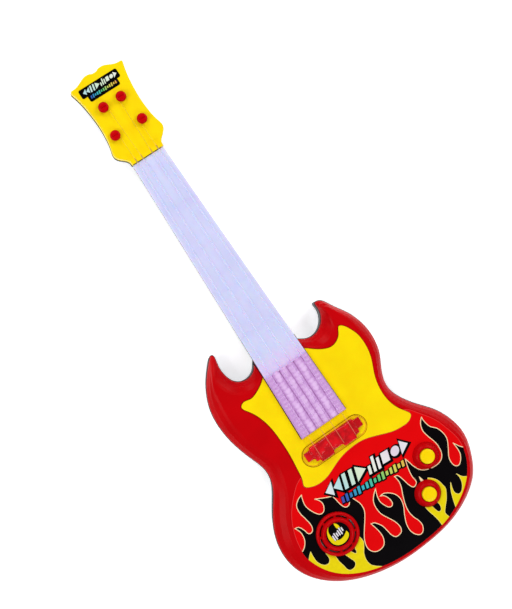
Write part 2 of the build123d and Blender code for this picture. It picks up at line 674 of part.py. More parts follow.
# ---------------------------------------------------------------- speaker and its grille
def speaker_section(points):
    """Turn a closed profile of radius and height about the speaker's axis."""
    with BuildPart() as turned:
        with BuildSketch(xz_plane(SPEAKER_XY[1])):
            with BuildLine():
                Polyline(*points, close=True)
            make_face()
        revolve(axis=Axis((0, SPEAKER_XY[1], 0), (0, 0, 1)))
    return Pos(SPEAKER_XY[0], 0, 0) * turned.part


def make_grille():
    x, y = SPEAKER_XY
    with BuildPart() as ring:
        with BuildSketch(xz_plane(y)):
            with BuildLine():
                Spline((GRILLE_R, 31.4), (20.8, 32.6), (19.7, 33.3), (18.6, 32.7), (17.9, 31.7))
                Line((17.9, 31.7), (16.3, 31.7))
                Spline((16.3, 31.7), (15.6, 33.4), (14.4, 34.4), (13.1, 33.8), (12.1, 32.6))
                Polyline((12.1, 32.6), (0, 32.6), (0, 31.0), (13.0, 31.0), (14.6, 30.0), (15.0, 28.0),
                         (18.2, 28.0), (18.2, FACE_Z), (GRILLE_R, FACE_Z), (GRILLE_R, 31.4))
            make_face()
        revolve(axis=Axis((0, y, 0), (0, 0, 1)))
    with BuildPart() as grille:
        add(Pos(x, 0, 0) * ring.part)
        with BuildSketch(Plane.XY.offset(FACE_Z - 4.0)):
            with Locations((x, y)):
                with PolarLocations(0, SLOT_COUNT):
                    SlotArc(CenterArc((0, 0), SLOT_R, -SLOT_ARC / 2, SLOT_ARC), SLOT_W)
        extrude(amount=12.0, mode=Mode.SUBTRACT)
    return grille.part


def make_grille_label():
    with BuildPart() as label:
        with BuildSketch(Plane.XY.offset(32.6)):
            with Locations(SPEAKER_XY):
                Circle(11.6)
        extrude(amount=LABEL_T)
    return label.part


def make_speaker_frame():
    return speaker_section([(20.0, 27.6), (20.0, 26.4), (17.6, 26.0), (12.5, 19.0), (12.5, 17.2),
                            (3.6, 17.2), (3.6, 18.0), (11.6, 18.0), (11.6, 19.4), (16.8, 26.9), (17.2, 27.6)])


def make_speaker_cone():
    return speaker_section([(0, 24.0), (3.4, 23.4), (5.0, 21.4), (16.4, 27.1), (16.4, 27.5),
                            (5.2, 22.2), (3.8, 24.0), (0, 24.7)])


def make_speaker_magnet():
    return speaker_section([(0, 17.0), (12.3, 17.0), (12.3, 10.0), (0, 10.0)])


# ---------------------------------------------------------------- buttons
def make_button(x, y):
    with BuildPart() as cap:
        with BuildSketch(xz_plane(y)):
            with BuildLine():
                Polyline((0, BUTTON_TOP_Z), (0, 18.4), (2.2, 18.4), (2.2, 33.0), (5.6, 33.0),
                         (5.6, 25.3), (9.0, 25.3), (9.0, 27.3), (BUTTON_R, 27.3), (BUTTON_R, 35.9))
                Spline((BUTTON_R, 35.9), (6.7, 36.8), (4.2, 37.4), (0, BUTTON_TOP_Z),
                       tangents=[(0, 1), (-1, 0)])
            make_face()
        revolve(axis=Axis((0, y, 0), (0, 0, 1)))
    return Pos(x, 0, 0) * cap.part


def make_dome(x, y):
    """Silicone return dome between the circuit board and a button's stem."""
    top = BOARD_Z + BOARD_T
    with BuildPart() as dome:
        with BuildSketch(xz_plane(y)):
            with BuildLine():
                Polyline((0, 18.2), (2.4, 18.2), (2.4, 17.0), (5.6, top + 0.8), (7.0, top + 0.8), (7.0, top),
                         (4.9, top), (1.8, 16.2), (0, 16.2), close=True)
            make_face()
        revolve(axis=Axis((0, y, 0), (0, 0, 1)))
    return Pos(x, 0, 0) * dome.part


# ---------------------------------------------------------------- electronics
def make_circuit_board():
    with BuildPart() as board:
        with BuildSketch(Plane.XY.offset(BOARD_Z)):
            with Locations((sum(BOARD_X) / 2, sum(BOARD_Y) / 2)):
                RectangleRounded(BOARD_X[1] - BOARD_X[0], BOARD_Y[1] - BOARD_Y[0], 2.0)
            with Locations(*board_posts()):
                Circle(1.7, mode=Mode.SUBTRACT)
        extrude(amount=BOARD_T)
    return board.part


def make_board_components():
    top = BOARD_Z + BOARD_T
    with BuildPart() as components:
        with BuildSketch(Plane.XY.offset(top)):
            with Locations((46, -72)):
                Circle(6.0)
        extrude(amount=1.6)
        with BuildSketch(Plane.XY.offset(top)):
            with Locations((72, -88), (72, -96), (60, -80)):
                Circle(2.5)
        extrude(amount=5.0)
        with BuildSketch(Plane.XY.offset(top)):
            with Locations((64, -104), (70, -104), (76, -104), (42, -84)):
                Rectangle(3.2, 1.8)
        extrude(amount=0.8)
    return components.part


def make_board_screws():
    top = BOARD_Z + BOARD_T
    with BuildPart() as screws:
        with BuildSketch(Plane.XY.offset(top)):
            with Locations(*board_posts()):
                Circle(2.2)
        extrude(amount=1.3)
        with BuildSketch(Plane.XY.offset(top)):
            with Locations(*board_posts()):
                Circle(0.95)
        extrude(amount=-6.5)
    return screws.part


def make_battery(index):
    x = sum(BAY_X) / 2 + (index - 1) * CELL_PITCH
    middle = sum(BAY_Y) / 2
    flip = 1 if index % 2 else -1
    with BuildPart() as cell:
        with BuildSketch(xz_plane(middle + CELL_LENGTH / 2 - 0.6)):
            with Locations((x, CELL_Z)):
                Circle(CELL_R)
        extrude(amount=CELL_LENGTH - 1.2)
        with BuildSketch(xz_plane(middle)):
            with Locations((x, CELL_Z)):
                Circle(2.6)
        extrude(amount=flip * CELL_LENGTH / 2)
    return cell.part


def make_contact_plates():
    with BuildPart() as plates:
        for y in (BAY_Y[0], BAY_Y[1] - 0.4):
            with BuildSketch(xz_plane(y + 0.4)):
                for index in range(3):
                    x = sum(BAY_X) / 2 + (index - 1) * CELL_PITCH
                    with Locations((x, CELL_Z)):
                        Rectangle(12.0, 11.0)
            extrude(amount=0.4)
    return plates.part


def make_led_strip():
    with BuildPart() as strip:
        with BuildSketch(Plane.XY.offset(18.0)):
            with Locations((0, 170)):
                Rectangle(9.0, 262.0)
        extrude(amount=1.2)
    return strip.part


def make_leds():
    with BuildPart() as leds:
        with BuildSketch(Plane.XY.offset(19.2)):
            with Locations(*[(0, FIRST_FRET_Y - 22 + i * FRET_PITCH) for i in range(FRET_COUNT + 1)]):
                Rectangle(5.0, 5.0)
        extrude(amount=1.6)
        with BuildSketch(Plane.XY.offset(20.8)):
            with Locations(*[(0, FIRST_FRET_Y - 22 + i * FRET_PITCH) for i in range(FRET_COUNT + 1)]):
                Circle(1.9)
        extrude(amount=1.2)
    return leds.part


# ---------------------------------------------------------------- battery door and power switch
def make_battery_door():
    width = BAY_X[1] - BAY_X[0] - 2 * FIT
    far = DOOR_END_Y + FIT
    near = DOOR_AXIS_Y + 1.2
    with BuildPart() as door:
        with BuildSketch(Plane.XY.offset(DOOR_Z[0])):
            with Locations((sum(BAY_X) / 2, (far + near) / 2)):
                Rectangle(width, near - far)
        extrude(amount=DOOR_Z[1] - DOOR_Z[0])
        with BuildSketch(Plane.YZ.offset(BAY_X[0] - 1.2)):
            with Locations((DOOR_AXIS_Y, DOOR_AXIS_Z)):
                Circle(DOOR_PIN_R)
        extrude(amount=BAY_X[1] - BAY_X[0] + 2.4)
        with BuildSketch(Plane.XY.offset(DOOR_Z[0])):
            with Locations(DOOR_SCREW):
                Circle(3.9)
        extrude(amount=3.5)
        with BuildSketch(Plane.XY.offset(DOOR_Z[0])):
            with Locations(DOOR_SCREW):
                Circle(1.6)
        extrude(amount=6.0, mode=Mode.SUBTRACT)
        with BuildSketch(Plane.XY.offset(DOOR_Z[0])):
            with Locations(DOOR_SCREW):
                Circle(3.0)
        extrude(amount=2.0, mode=Mode.SUBTRACT)
        # finger grooves
        with BuildSketch(Plane.XY.offset(DOOR_Z[0])):
            with GridLocations(1, 4.0, 1, 5):
                with Locations((sum(BAY_X) / 2, -98.0)):
                    Rectangle(22.0, 1.4)
        extrude(amount=0.7, mode=Mode.SUBTRACT)
    return door.part


def make_switch_slider():
    x, y = SWITCH_XY
    x = x - SWITCH_TRAVEL / 2
    with BuildPart() as slider:
        with BuildSketch(Plane.XY.offset(0.7)):
            with Locations((x, y)):
                RectangleRounded(9.0, 7.6, 1.0)
        extrude(amount=1.6)
        with BuildSketch(Plane.XY.offset(0.7)):
            with Locations((x - 2.4, y), (x, y), (x + 2.4, y)):
                Rectangle(1.0, 6.0)
        extrude(amount=0.6, mode=Mode.SUBTRACT)
        with BuildSketch(Plane.XY.offset(2.3)):
            with Locations((x, y)):
                Rectangle(4.0, 3.0)
        extrude(amount=4.0)
    return slider.part


def make_switch_body():
    with BuildPart() as can:
        with BuildSketch(Plane.XY.offset(WALL + 2.4)):
            with Locations(SWITCH_XY):
                Rectangle(17.0, 8.0)
        extrude(amount=5.4)
        with BuildSketch(Plane.XY.offset(WALL + 2.4)):
            with Locations(SWITCH_XY):
                Rectangle(9.4, 4.0)
        extrude(amount=2.6, mode=Mode.SUBTRACT)
    return can.part


def make_wire(points, radius, bend):
    """An insulated wire: straight runs joined by tangent arcs."""
    with BuildPart() as wire:
        with BuildLine() as route:
            FilletPolyline(*points, radius=bend)
        with BuildSketch(Plane(origin=route.line @ 0, z_dir=route.line % 0)):
            Circle(radius)
        sweep(path=route.line)
    return wire.part


def make_battery_wires():
    board_edge = (44.0, BOARD_Y[1] + 0.1, BOARD_Z + 0.8)
    bay_end = BAY_Y[1] + BAY_WALL + 0.1
    switch_z = WALL + 5.0
    to_switch = make_wire([(18, bay_end, 12), (18, -44, 12), (36, -33, 9.5),
                           (SWITCH_XY[0] - 8.6, SWITCH_XY[1], switch_z)], WIRE_R, 5.0)
    to_board = make_wire([(26, bay_end, 12), (26, -45.5, 12.4), (44, -45.5, 12.8), board_edge], WIRE_R, 3.5)
    from_switch = make_wire([(66, SWITCH_XY[1] - 4.1, switch_z), (66, -44, 8.6),
                             (62, BOARD_Y[1] + 0.5, BOARD_Z + 0.8)], WIRE_R, 4.0)
    return Part(Compound([to_switch, to_board, from_switch]).wrapped)


def make_speaker_wires():
    wires = []
    for shift in (-1.4, 1.4):
        y = SPEAKER_XY[1] + shift
        wires.append(make_wire([(SPEAKER_XY[0] + 12.7, y, 18.2), (-27, y, 21.3), (32, y + 3, 21.5),
                                (38.5, y + 4, BOARD_Z + BOARD_T + 0.4)], 0.5, 3.0))
    return Part(Compound(wires).wrapped)


def make_light_wires():
    wires = []
    for shift in (-1.0, 1.0):
        wires.append(make_wire([(50 + shift, BOARD_Y[1] + 0.1, BOARD_Z + 0.8), (50 + shift, -42, 13),
                                (24, -14 + shift, 18), (3 + shift, 3, LIGHT_WIRE_Z),
                                (3.2 + shift, 28, LIGHT_WIRE_Z), (2.2 + shift, 38.9, 18.6)], 0.5, 5.0))
    return Part(Compound(wires).wrapped)


# ---------------------------------------------------------------- write every piece
save(make_back_shell(), "back_shell")
save(make_front_shell(), "front_shell")
save(make_pickguard(), "pickguard")
save(make_label(), "flame_label")
save(make_fingerboard(), "fingerboard")
save(make_neck_back(), "neck_back")
save(make_headstock_front(), "headstock_front")
save(make_headstock_back(), "headstock_back")
save(make_head_badge(), "headstock_badge")
save(make_bridge(), "bridge")
save(make_grille(), "speaker_grille")
save(make_grille_label(), "grille_label")
save(make_speaker_frame(), "speaker_frame")
save(make_speaker_cone(), "speaker_cone")
save(make_speaker_magnet(), "speaker_magnet")
for number, (spot, nut_x, bridge_x) in enumerate(zip(PEG_SPOTS, NUT_X, BRIDGE_X), start=1):
    save(make_peg(*spot), f"tuning_peg_{number}")
    save(make_string(spot, nut_x, bridge_x), f"string_{number}")
for name, spot in BUTTON_SPOTS.items():
    save(make_button(*spot), f"{name}_button")
    save(make_dome(*spot), f"{name}_button_dome")
save(make_circuit_board(), "circuit_board")
save(make_board_components(), "board_components")
save(make_board_screws(), "board_screws")
for index in range(3):
    save(make_battery(index), f"battery_{index + 1}")
save(make_contact_plates(), "battery_contacts")
save(make_led_strip(), "neck_light_strip")
save(make_leds(), "neck_lights")
save(make_battery_door(), "battery_door")
save(screw_group([DOOR_SCREW], 0.6, 5.2), "door_screw")
save(make_switch_slider(), "power_switch_slider")
save(make_switch_body(), "power_switch_body")
save(make_battery_wires(), "battery_wires")
save(make_speaker_wires(), "speaker_wires")
save(make_light_wires(), "light_wires")
save(screw_group(BODY_SCREWS, 0.6, 18.0), "body_screws")
save(screw_group(NECK_SCREWS, 0.6, 11.0), "neck_screws")
save(screw_group(HEAD_SCREWS, HEAD_BACK_Z + 0.4, 11.0), "headstock_screws")
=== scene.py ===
"""The looks of the toy electric guitar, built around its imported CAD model. Everything is in metres."""

import json
import math

import bmesh
import bpy
from mathutils import Matrix, Vector
from mathutils.geometry import interpolate_bezier


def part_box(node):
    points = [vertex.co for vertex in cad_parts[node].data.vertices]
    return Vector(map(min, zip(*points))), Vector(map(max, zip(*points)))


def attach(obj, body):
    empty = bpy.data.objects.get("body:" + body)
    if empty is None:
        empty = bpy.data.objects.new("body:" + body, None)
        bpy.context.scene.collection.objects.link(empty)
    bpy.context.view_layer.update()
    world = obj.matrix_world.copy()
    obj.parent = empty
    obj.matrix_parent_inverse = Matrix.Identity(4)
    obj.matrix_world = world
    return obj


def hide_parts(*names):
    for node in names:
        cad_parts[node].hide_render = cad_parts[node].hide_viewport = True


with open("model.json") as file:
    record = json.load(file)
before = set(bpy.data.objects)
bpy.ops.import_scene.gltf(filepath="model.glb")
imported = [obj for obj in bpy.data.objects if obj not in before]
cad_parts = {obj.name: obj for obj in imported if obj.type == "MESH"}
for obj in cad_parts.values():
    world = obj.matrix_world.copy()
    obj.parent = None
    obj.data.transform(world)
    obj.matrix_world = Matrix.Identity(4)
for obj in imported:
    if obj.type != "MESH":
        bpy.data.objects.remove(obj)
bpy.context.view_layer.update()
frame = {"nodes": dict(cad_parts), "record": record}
NODES = frame["nodes"]

MM = 0.001


# ---------------------------------------------------------------- colours


def linear(red, green, blue):
    """The linear colour of three 0 to 255 values, as an RGBA socket wants it."""
    levels = []
    for level in (red, green, blue):
        part = level / 255
        levels.append(part / 12.92 if part <= 0.04045 else ((part + 0.055) / 1.055) ** 2.4)
    return (*levels, 1.0)


BODY_RED = linear(194, 3, 10)
CAP_RED = linear(214, 12, 24)
PRINT_RED = linear(224, 6, 10)
YELLOW = linear(255, 218, 4)
FLAME_YELLOW = linear(230, 210, 14)
CREAM = linear(250, 226, 178)
PALE_YELLOW = linear(248, 232, 130)
INK_BLACK = linear(6, 4, 6)
FROSTED = linear(216, 218, 252)
LILAC = linear(226, 206, 244)
CRYSTAL = linear(208, 160, 220)
# Painted shade and painted highlight tones for the fingerboard relief: a lower tone, a knob-top highlight and
# a groove shade.
CRYSTAL_SHADE = linear(200, 150, 212)
CRYSTAL_HIGHLIGHT = linear(230, 192, 240)
GROOVE_SHADE_LILAC = linear(136, 72, 140)
CHARCOAL = linear(52, 62, 64)
# Painted shade: the dark line in the gap round the pickguard.
PAINTED_GAP_SHADE = linear(60, 4, 6)
# Painted shade: the dark line in the gaps beside the fingerboard.
PLUM_GAP_SHADE = linear(74, 24, 44)
# Painted highlight along the edge of the printed film.
FILM_EDGE_HIGHLIGHT = linear(236, 62, 62)
# Painted shade and painted highlight for the oval edge round the bridge.
RECESS_SHADE_BROWN = linear(158, 104, 10)
RECESS_HIGHLIGHT_ORANGE = linear(236, 150, 40)


# ---------------------------------------------------------------- materials


class Graph:
    """A material's node tree, with short calls for the nodes that this script uses."""

    def __init__(self, name):
        self.material = bpy.data.materials.new(name)
        self.material.use_nodes = True
        self.tree = self.material.node_tree
        self.shader = self.tree.nodes["Principled BSDF"]

    def node(self, kind, **values):
        made = self.tree.nodes.new(kind)
        for key, value in values.items():
            socket = made.inputs.get(key.replace("_", " "))
            if socket is None:
                setattr(made, key, value)
            else:
                socket.default_value = value
        return made

    def link(self, source, target):
        self.tree.links.new(source, target)

    def noise(self, scale, detail=3.0, roughness=0.5):
        """Noise over the object's own coordinates, so it stays put when a piece moves."""
        place = self.node("ShaderNodeTexCoord")
        made = self.node("ShaderNodeTexNoise", Scale=scale, Detail=detail, Roughness=roughness)
        self.link(place.outputs["Object"], made.inputs["Vector"])
        return made.outputs["Fac"]

    def ramp(self, source, *stops):
        """A colour ramp with (place, colour) stops."""
        made = self.node("ShaderNodeValToRGB")
        elements = made.color_ramp.elements
        while len(elements) < len(stops):
            elements.new(0.5)
        for element, (place, colour) in zip(elements, stops):
            element.position = place
            element.color = colour
        self.link(source, made.inputs["Fac"])
        return made.outputs["Color"]

    def coordinate(self, axis):
        """One of the object's own coordinates, in metres."""
        place = self.node("ShaderNodeTexCoord")
        split = self.node("ShaderNodeSeparateXYZ")
        self.link(place.outputs["Object"], split.inputs["Vector"])
        return split.outputs[axis]

    def share(self, axis, low, high):
        """How far a place lies from low to high along one of the object's axes, from 0 to 1."""
        made = self.node("ShaderNodeMapRange")
        made.inputs["From Min"].default_value = low
        made.inputs["From Max"].default_value = high
        self.link(self.coordinate(axis), made.inputs["Value"])
        return made.outputs["Result"]

    def multiply_add(self, source, factor, added):
        """A value times a factor, plus a number."""
        made = self.node("ShaderNodeMath", operation="MULTIPLY_ADD")
        self.link(source, made.inputs[0])
        made.inputs[1].default_value = factor
        made.inputs[2].default_value = added
        return made.outputs["Value"]

    def total(self, first, second):
        made = self.node("ShaderNodeMath", operation="ADD")
        self.link(first, made.inputs[0])
        self.link(second, made.inputs[1])
        return made.outputs["Value"]

    def spread(self, source, low, high):
        """A 0 to 1 value spread over low to high."""
        made = self.node("ShaderNodeMapRange")
        made.inputs["To Min"].default_value = low
        made.inputs["To Max"].default_value = high
        self.link(source, made.inputs["Value"])
        return made.outputs["Result"]

    def bump(self, source, strength, distance):
        made = self.node("ShaderNodeBump", Strength=strength, Distance=distance)
        self.link(source, made.inputs["Height"])
        self.link(made.outputs["Normal"], self.shader.inputs["Normal"])


def shade(colour, factor):
    """The colour made lighter or darker by a factor."""
    return (*(min(1.0, part * factor) for part in colour[:3]), 1.0)


def moulded(name, colour, rough=0.3, coat=0.0, grain=0.00002, drift=0.06, subsurface=0.0, gloss=0.3):
    """Injection-moulded plastic: slow colour drift, uneven gloss and a faint orange-peel skin."""
    graph = Graph(name)
    slow = graph.noise(35.0, 2.0)
    graph.link(
        graph.ramp(slow, (0.3, shade(colour, 1 - drift)), (0.7, shade(colour, 1 + drift))),
        graph.shader.inputs["Base Color"],
    )
    graph.link(graph.spread(graph.noise(90.0), rough - 0.05, rough + 0.06), graph.shader.inputs["Roughness"])
    graph.bump(graph.noise(900.0, 2.0), 0.35, grain)
    graph.shader.inputs["Specular IOR Level"].default_value = gloss
    graph.shader.inputs["Coat Weight"].default_value = coat
    graph.shader.inputs["Coat Roughness"].default_value = 0.08
    if subsurface:
        graph.shader.inputs["Subsurface Weight"].default_value = subsurface
        graph.shader.inputs["Subsurface Scale"].default_value = 0.004
    return graph.material


def metal(name, colour, rough=0.3):
    """Bare metal with fine scratches in its gloss."""
    graph = Graph(name)
    graph.link(
        graph.ramp(graph.noise(220.0), (0.3, shade(colour, 0.85)), (0.75, shade(colour, 1.1))),
        graph.shader.inputs["Base Color"],
    )
    graph.shader.inputs["Metallic"].default_value = 1.0
    graph.link(graph.spread(graph.noise(600.0), rough - 0.08, rough + 0.12), graph.shader.inputs["Roughness"])
    graph.bump(graph.noise(1500.0), 0.2, 0.00002)
    return graph.material


def frosted(name, colour, milkiness=0.75, rough=0.42):
    """Translucent frosted plastic, cloudy inside, that scatters the light under its skin."""
    graph = Graph(name)
    graph.link(
        graph.ramp(graph.noise(28.0), (0.3, shade(colour, 0.95)), (0.72, shade(colour, 1.04))),
        graph.shader.inputs["Base Color"],
    )
    graph.link(graph.spread(graph.noise(140.0), rough - 0.08, rough + 0.08), graph.shader.inputs["Roughness"])
    graph.shader.inputs["Subsurface Weight"].default_value = milkiness
    graph.shader.inputs["Subsurface Scale"].default_value = 0.006
    graph.shader.inputs["Subsurface Radius"].default_value = (1.0, 0.9, 1.0)
    graph.bump(graph.noise(700.0), 0.3, 0.00003)
    return graph.material


def clear_nylon(name, *stops):
    """Thin clear line that barely shows: half see-through, with the tint of what lies under it."""
    graph = Graph(name)
    along = graph.share("Y", STRINGS_LOW, STRINGS_HIGH)
    graph.link(graph.ramp(along, *stops), graph.shader.inputs["Base Color"])
    graph.link(graph.spread(graph.noise(60.0), 0.4, 0.55), graph.shader.inputs["Roughness"])
    graph.shader.inputs["Specular IOR Level"].default_value = 0.05
    graph.shader.inputs["Alpha"].default_value = 0.4
    return graph.material


STRINGS_LOW = -20 * MM
STRINGS_HIGH = 380 * MM

MATERIALS = {
    "red_plastic": moulded("red_plastic", BODY_RED, rough=0.3, gloss=0.05),
    "charcoal_plastic": moulded("charcoal_plastic", CHARCOAL, rough=0.48, grain=0.00005),
    "yellow_plastic": moulded("yellow_plastic", YELLOW, rough=0.34, subsurface=0.08, gloss=0.1),
    "printed_film": moulded("printed_film", PRINT_RED, rough=0.26, drift=0.03, gloss=0.05),
    "printed_film_dark": moulded("printed_film_dark", INK_BLACK, rough=0.28, drift=0.1, gloss=0.06),
    "button_yellow": moulded("button_yellow", YELLOW, rough=0.3, subsurface=0.1, gloss=0.1),
    "frosted_plastic": frosted("frosted_plastic", FROSTED),
    "steel": metal("steel", linear(190, 190, 192)),
    "speaker_paper": moulded("speaker_paper", linear(40, 38, 38), rough=0.8, drift=0.15),
    "ferrite": moulded("ferrite", linear(58, 58, 60), rough=0.6, drift=0.15),
    "silicone": moulded("silicone", linear(210, 210, 205), rough=0.5, subsurface=0.2),
    "board_green": moulded("board_green", linear(24, 92, 50), rough=0.4),
    "component_black": moulded("component_black", linear(26, 26, 28), rough=0.45),
    "battery_wrap": moulded("battery_wrap", linear(60, 96, 160), rough=0.28, coat=0.2),
    "led_lens": frosted("led_lens", linear(240, 244, 255), milkiness=0.4, rough=0.15),
    "nylon": clear_nylon(
        "nylon", (0.0, linear(240, 110, 100)), (0.07, linear(240, 140, 110)), (0.09, linear(236, 190, 70)),
        (0.1, linear(215, 168, 226)), (0.27, linear(220, 185, 238)), (0.29, linear(226, 228, 255)),
        (0.83, linear(226, 228, 255)), (0.86, linear(244, 210, 50)),
    ),
    "wire_insulation": moulded("wire_insulation", linear(200, 30, 30), rough=0.42),
}


def printed(name, colour, rough=0.3):
    """Printing ink under a clear film: even colour with a faint mottle and a smooth gloss."""
    graph = Graph(name)
    graph.link(
        graph.ramp(graph.noise(260.0), (0.3, shade(colour, 0.95)), (0.7, shade(colour, 1.05))),
        graph.shader.inputs["Base Color"],
    )
    graph.link(graph.spread(graph.noise(70.0), rough - 0.04, rough + 0.05), graph.shader.inputs["Roughness"])
    graph.shader.inputs["Specular IOR Level"].default_value = 0.06
    graph.bump(graph.noise(500.0), 0.15, 0.00002)
    return graph.material


def iridescent(name, colours, start, repeat, rough=0.22):
    """Holographic foil: the colours follow each other across the guitar, with a soft mottle."""
    graph = Graph(name)
    along = graph.multiply_add(graph.coordinate("X"), 1 / repeat, -start / repeat)
    mottle = graph.multiply_add(graph.noise(120.0), FOIL_MOTTLE, 0.0)
    wrap = graph.node("ShaderNodeMath", operation="FRACT")
    graph.link(graph.total(mottle, along), wrap.inputs[0])
    stops = [(index / (len(colours) - 1), linear(*colour)) for index, colour in enumerate(colours)]
    graph.link(graph.ramp(wrap.outputs["Value"], *stops), graph.shader.inputs["Base Color"])
    graph.link(graph.spread(graph.noise(200.0), rough - 0.06, rough + 0.08), graph.shader.inputs["Roughness"])
    graph.shader.inputs["Metallic"].default_value = 0.15
    return graph.material


FOIL_MOTTLE = 0.16
FOIL_WHITES = (
    (236, 226, 240), (246, 246, 250), (190, 232, 236),
    (226, 246, 214), (250, 250, 246), (240, 222, 240),
)
FOIL_RAINBOW = (
    (120, 60, 150), (52, 92, 190), (60, 190, 210),
    (90, 205, 120), (225, 225, 90), (240, 170, 70),
)

INKS = {
    "silver_ink": iridescent("silver_ink", FOIL_WHITES, -50 * MM, 100 * MM),
    "rainbow_ink": iridescent("rainbow_ink", FOIL_RAINBOW, -30 * MM, 88 * MM),
    "badge_rainbow_ink": iridescent("badge_rainbow_ink", FOIL_RAINBOW, -18 * MM, 34 * MM),
    "black_ink": printed("black_ink", INK_BLACK),
    "flame_yellow_ink": printed("flame_yellow_ink", FLAME_YELLOW),
    "cream_ink": printed("cream_ink", CREAM),
    "pale_yellow_ink": printed("pale_yellow_ink", PALE_YELLOW),
}


def paint_cad_nodes():
    """Each CAD node gets the finish of its slot in the record."""
    for part in frame["record"]["subparts"]:
        finish(NODES[part["node"]], MATERIALS[part["material_slot"]])


def finish(piece, material):
    piece.data.materials.clear()
    piece.data.materials.append(material)


# ---------------------------------------------------------------- printed layers

TIP = "tip"
FILM_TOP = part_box("flame_label")[1].z
FILM_DEPTH = 0.1 * MM
STENCIL_REACH = 2 * MM
WELD = 0.002 * MM
INK = 0.08 * MM
CREAM_LINE = 0.95 * MM
PALE_LINE = 0.6 * MM
LINE_STEP = 0.6 * MM
CURVE_STEPS = 6
PROBE_HEIGHT = 100 * MM

BLACK_FLAMES = [
    (-88, -77), (-80, -71), (-76, -65.5), (-75, -57.5), (-77.5, -51, TIP), (-74, -52), (-71, -58),
    (-70, -62), (-67.5, -63.5), (-64.5, -62), (-63, -57), (-64, -49.5), (-65.5, -41.5), (-64.5, -34),
    (-59.5, -29.5), (-55, -28, TIP), (-56.5, -32), (-57.5, -39), (-55, -47), (-51, -53), (-47.5, -54),
    (-44.5, -52), (-42.5, -47), (-43.5, -42.5), (-46.5, -38.5, TIP), (-37, -43.5), (-31, -46, TIP),
    (-30, -50.5), (-29, -56.5), (-26.5, -62), (-22.5, -62.5), (-19.5, -59), (-17.5, -55, TIP),
    (-15, -61), (-12.5, -68), (-13, -75.5), (-17, -82.5), (-22.5, -90), (-27.5, -97.5), (-30, -104.5),
    (-29.5, -110.5), (-25.5, -115), (-20, -116), (-15, -114), (-12, -108), (-12, -100.5),
    (-14.5, -90, TIP), (-11, -91.5), (-6.5, -98.5), (-5, -105.5), (-4, -110.5), (-1.5, -114.5),
    (2.5, -115), (6, -113.5), (7.5, -109), (6, -102), (2.5, -95), (-1, -88), (-2, -80), (-0.5, -73),
    (3.5, -68), (7.5, -64.5, TIP), (5, -71.5), (4.5, -77.5), (6.5, -83.5), (9, -87), (12, -87.5),
    (14, -84.5), (13, -78.5), (10.5, -74.5), (7.5, -73, TIP), (12, -73), (18, -77), (21.5, -82),
    (22.5, -88), (21, -94.5), (17, -102.5), (14, -110.5), (13.5, -118), (16, -124), (20, -127),
    (24, -125.5), (26.5, -120.5), (26, -115), (23.5, -108.5), (22.5, -101.5), (23.5, -94),
    (26.5, -85), (29.5, -77.5), (30.5, -71.5), (29.5, -65.5, TIP), (32.5, -66.5), (34.5, -71.5),
    (36.5, -79.5), (39, -84.5), (42, -84.5), (44.5, -82), (44, -75), (45, -67), (47.5, -57.5, TIP),
    (49, -62.5), (50.5, -68), (54, -74.5), (59, -78), (66.5, -80), (74.5, -79.5), (79.5, -75.5),
    (81.5, -68.5), (81, -60.5), (78.5, -52.5), (77, -44.5), (79, -37.5), (83, -33, TIP), (83, -38),
    (85, -45), (90, -51), (92.5, -58), (92.5, -65), (89, -72.5), (84.5, -80.5), (83.5, -86.5),
    (85, -91.5), (88.5, -93), (93, -89.5), (96, -83), (95.5, -72, TIP), (99, -78), (106, -88),
    (100, -108), (80, -128), (50, -140), (10, -145), (-30, -143), (-70, -128), (-92, -100),
]
YELLOW_LEFT = [
    (-86, -90), (-77.5, -78, TIP), (-78, -84), (-77.5, -90.5), (-73.5, -96.5), (-69.5, -97.5),
    (-66.5, -95), (-66, -91.5), (-66.5, -88, TIP), (-60, -94, TIP), (-60, -101), (-58.5, -108),
    (-57.5, -113), (-55, -115.5), (-50, -115), (-47.5, -111.5), (-49, -106.5), (-51.5, -100, TIP),
    (-45.5, -100, TIP), (-44, -103), (-42, -105), (-40.5, -103), (-40.5, -101), (-37, -97),
    (-31, -92, TIP), (-30, -99.5), (-32.5, -104.5), (-36, -110), (-37.5, -117), (-35.5, -124),
    (-26, -132, TIP), (-30, -142), (-70, -128),
]
YELLOW_RIGHT = [
    (56, -85.5, TIP), (60, -89), (63, -93.5), (64.5, -99.5), (65, -104), (63, -108.5), (59.5, -114),
    (54.5, -119.5), (51.5, -124.5), (55, -133, TIP), (42, -137, TIP), (42.5, -129.5), (42, -125),
    (41, -120), (39.5, -114.5), (38.5, -109), (38.5, -104, TIP), (46, -98),
]
BLACK_DROP = [(44, -109, TIP), (46, -117.5), (48, -119.5), (50.5, -118), (51.5, -113.5), (50, -109, TIP)]
YELLOW_EDGE = [
    (62.5, -129, TIP), (65, -118.5), (68.5, -108.5), (72.5, -102, TIP), (70.5, -108.5), (70.5, -113.5),
    (73.5, -116.5), (77.5, -115), (81.5, -109), (82.5, -103), (81.5, -98, TIP), (85.5, -104.5),
    (97, -113), (82, -126),
]
WHITE_TICK = [(49.5, -79, TIP), (50.5, -82), (51.5, -87, TIP), (48.5, -85.5)]


def smooth_outline(points):
    """A smooth closed line through points in millimetres. A point marked TIP is a sharp corner."""
    count = len(points)
    places = [Vector((point[0] * MM, point[1] * MM, 0)) for point in points]
    line = []
    for index in range(count):
        before, start, end, after = (places[(index + step) % count] for step in (-1, 0, 1, 2))
        reach = (end - start).length / 3
        leave, arrive = start, end
        if points[index][-1] != TIP:
            leave = start + (end - before).normalized() * reach
        if points[(index + 1) % count][-1] != TIP:
            arrive = end - (after - start).normalized() * reach
        line += interpolate_bezier(start, leave, arrive, end, CURVE_STEPS + 1)[:-1]
    return line


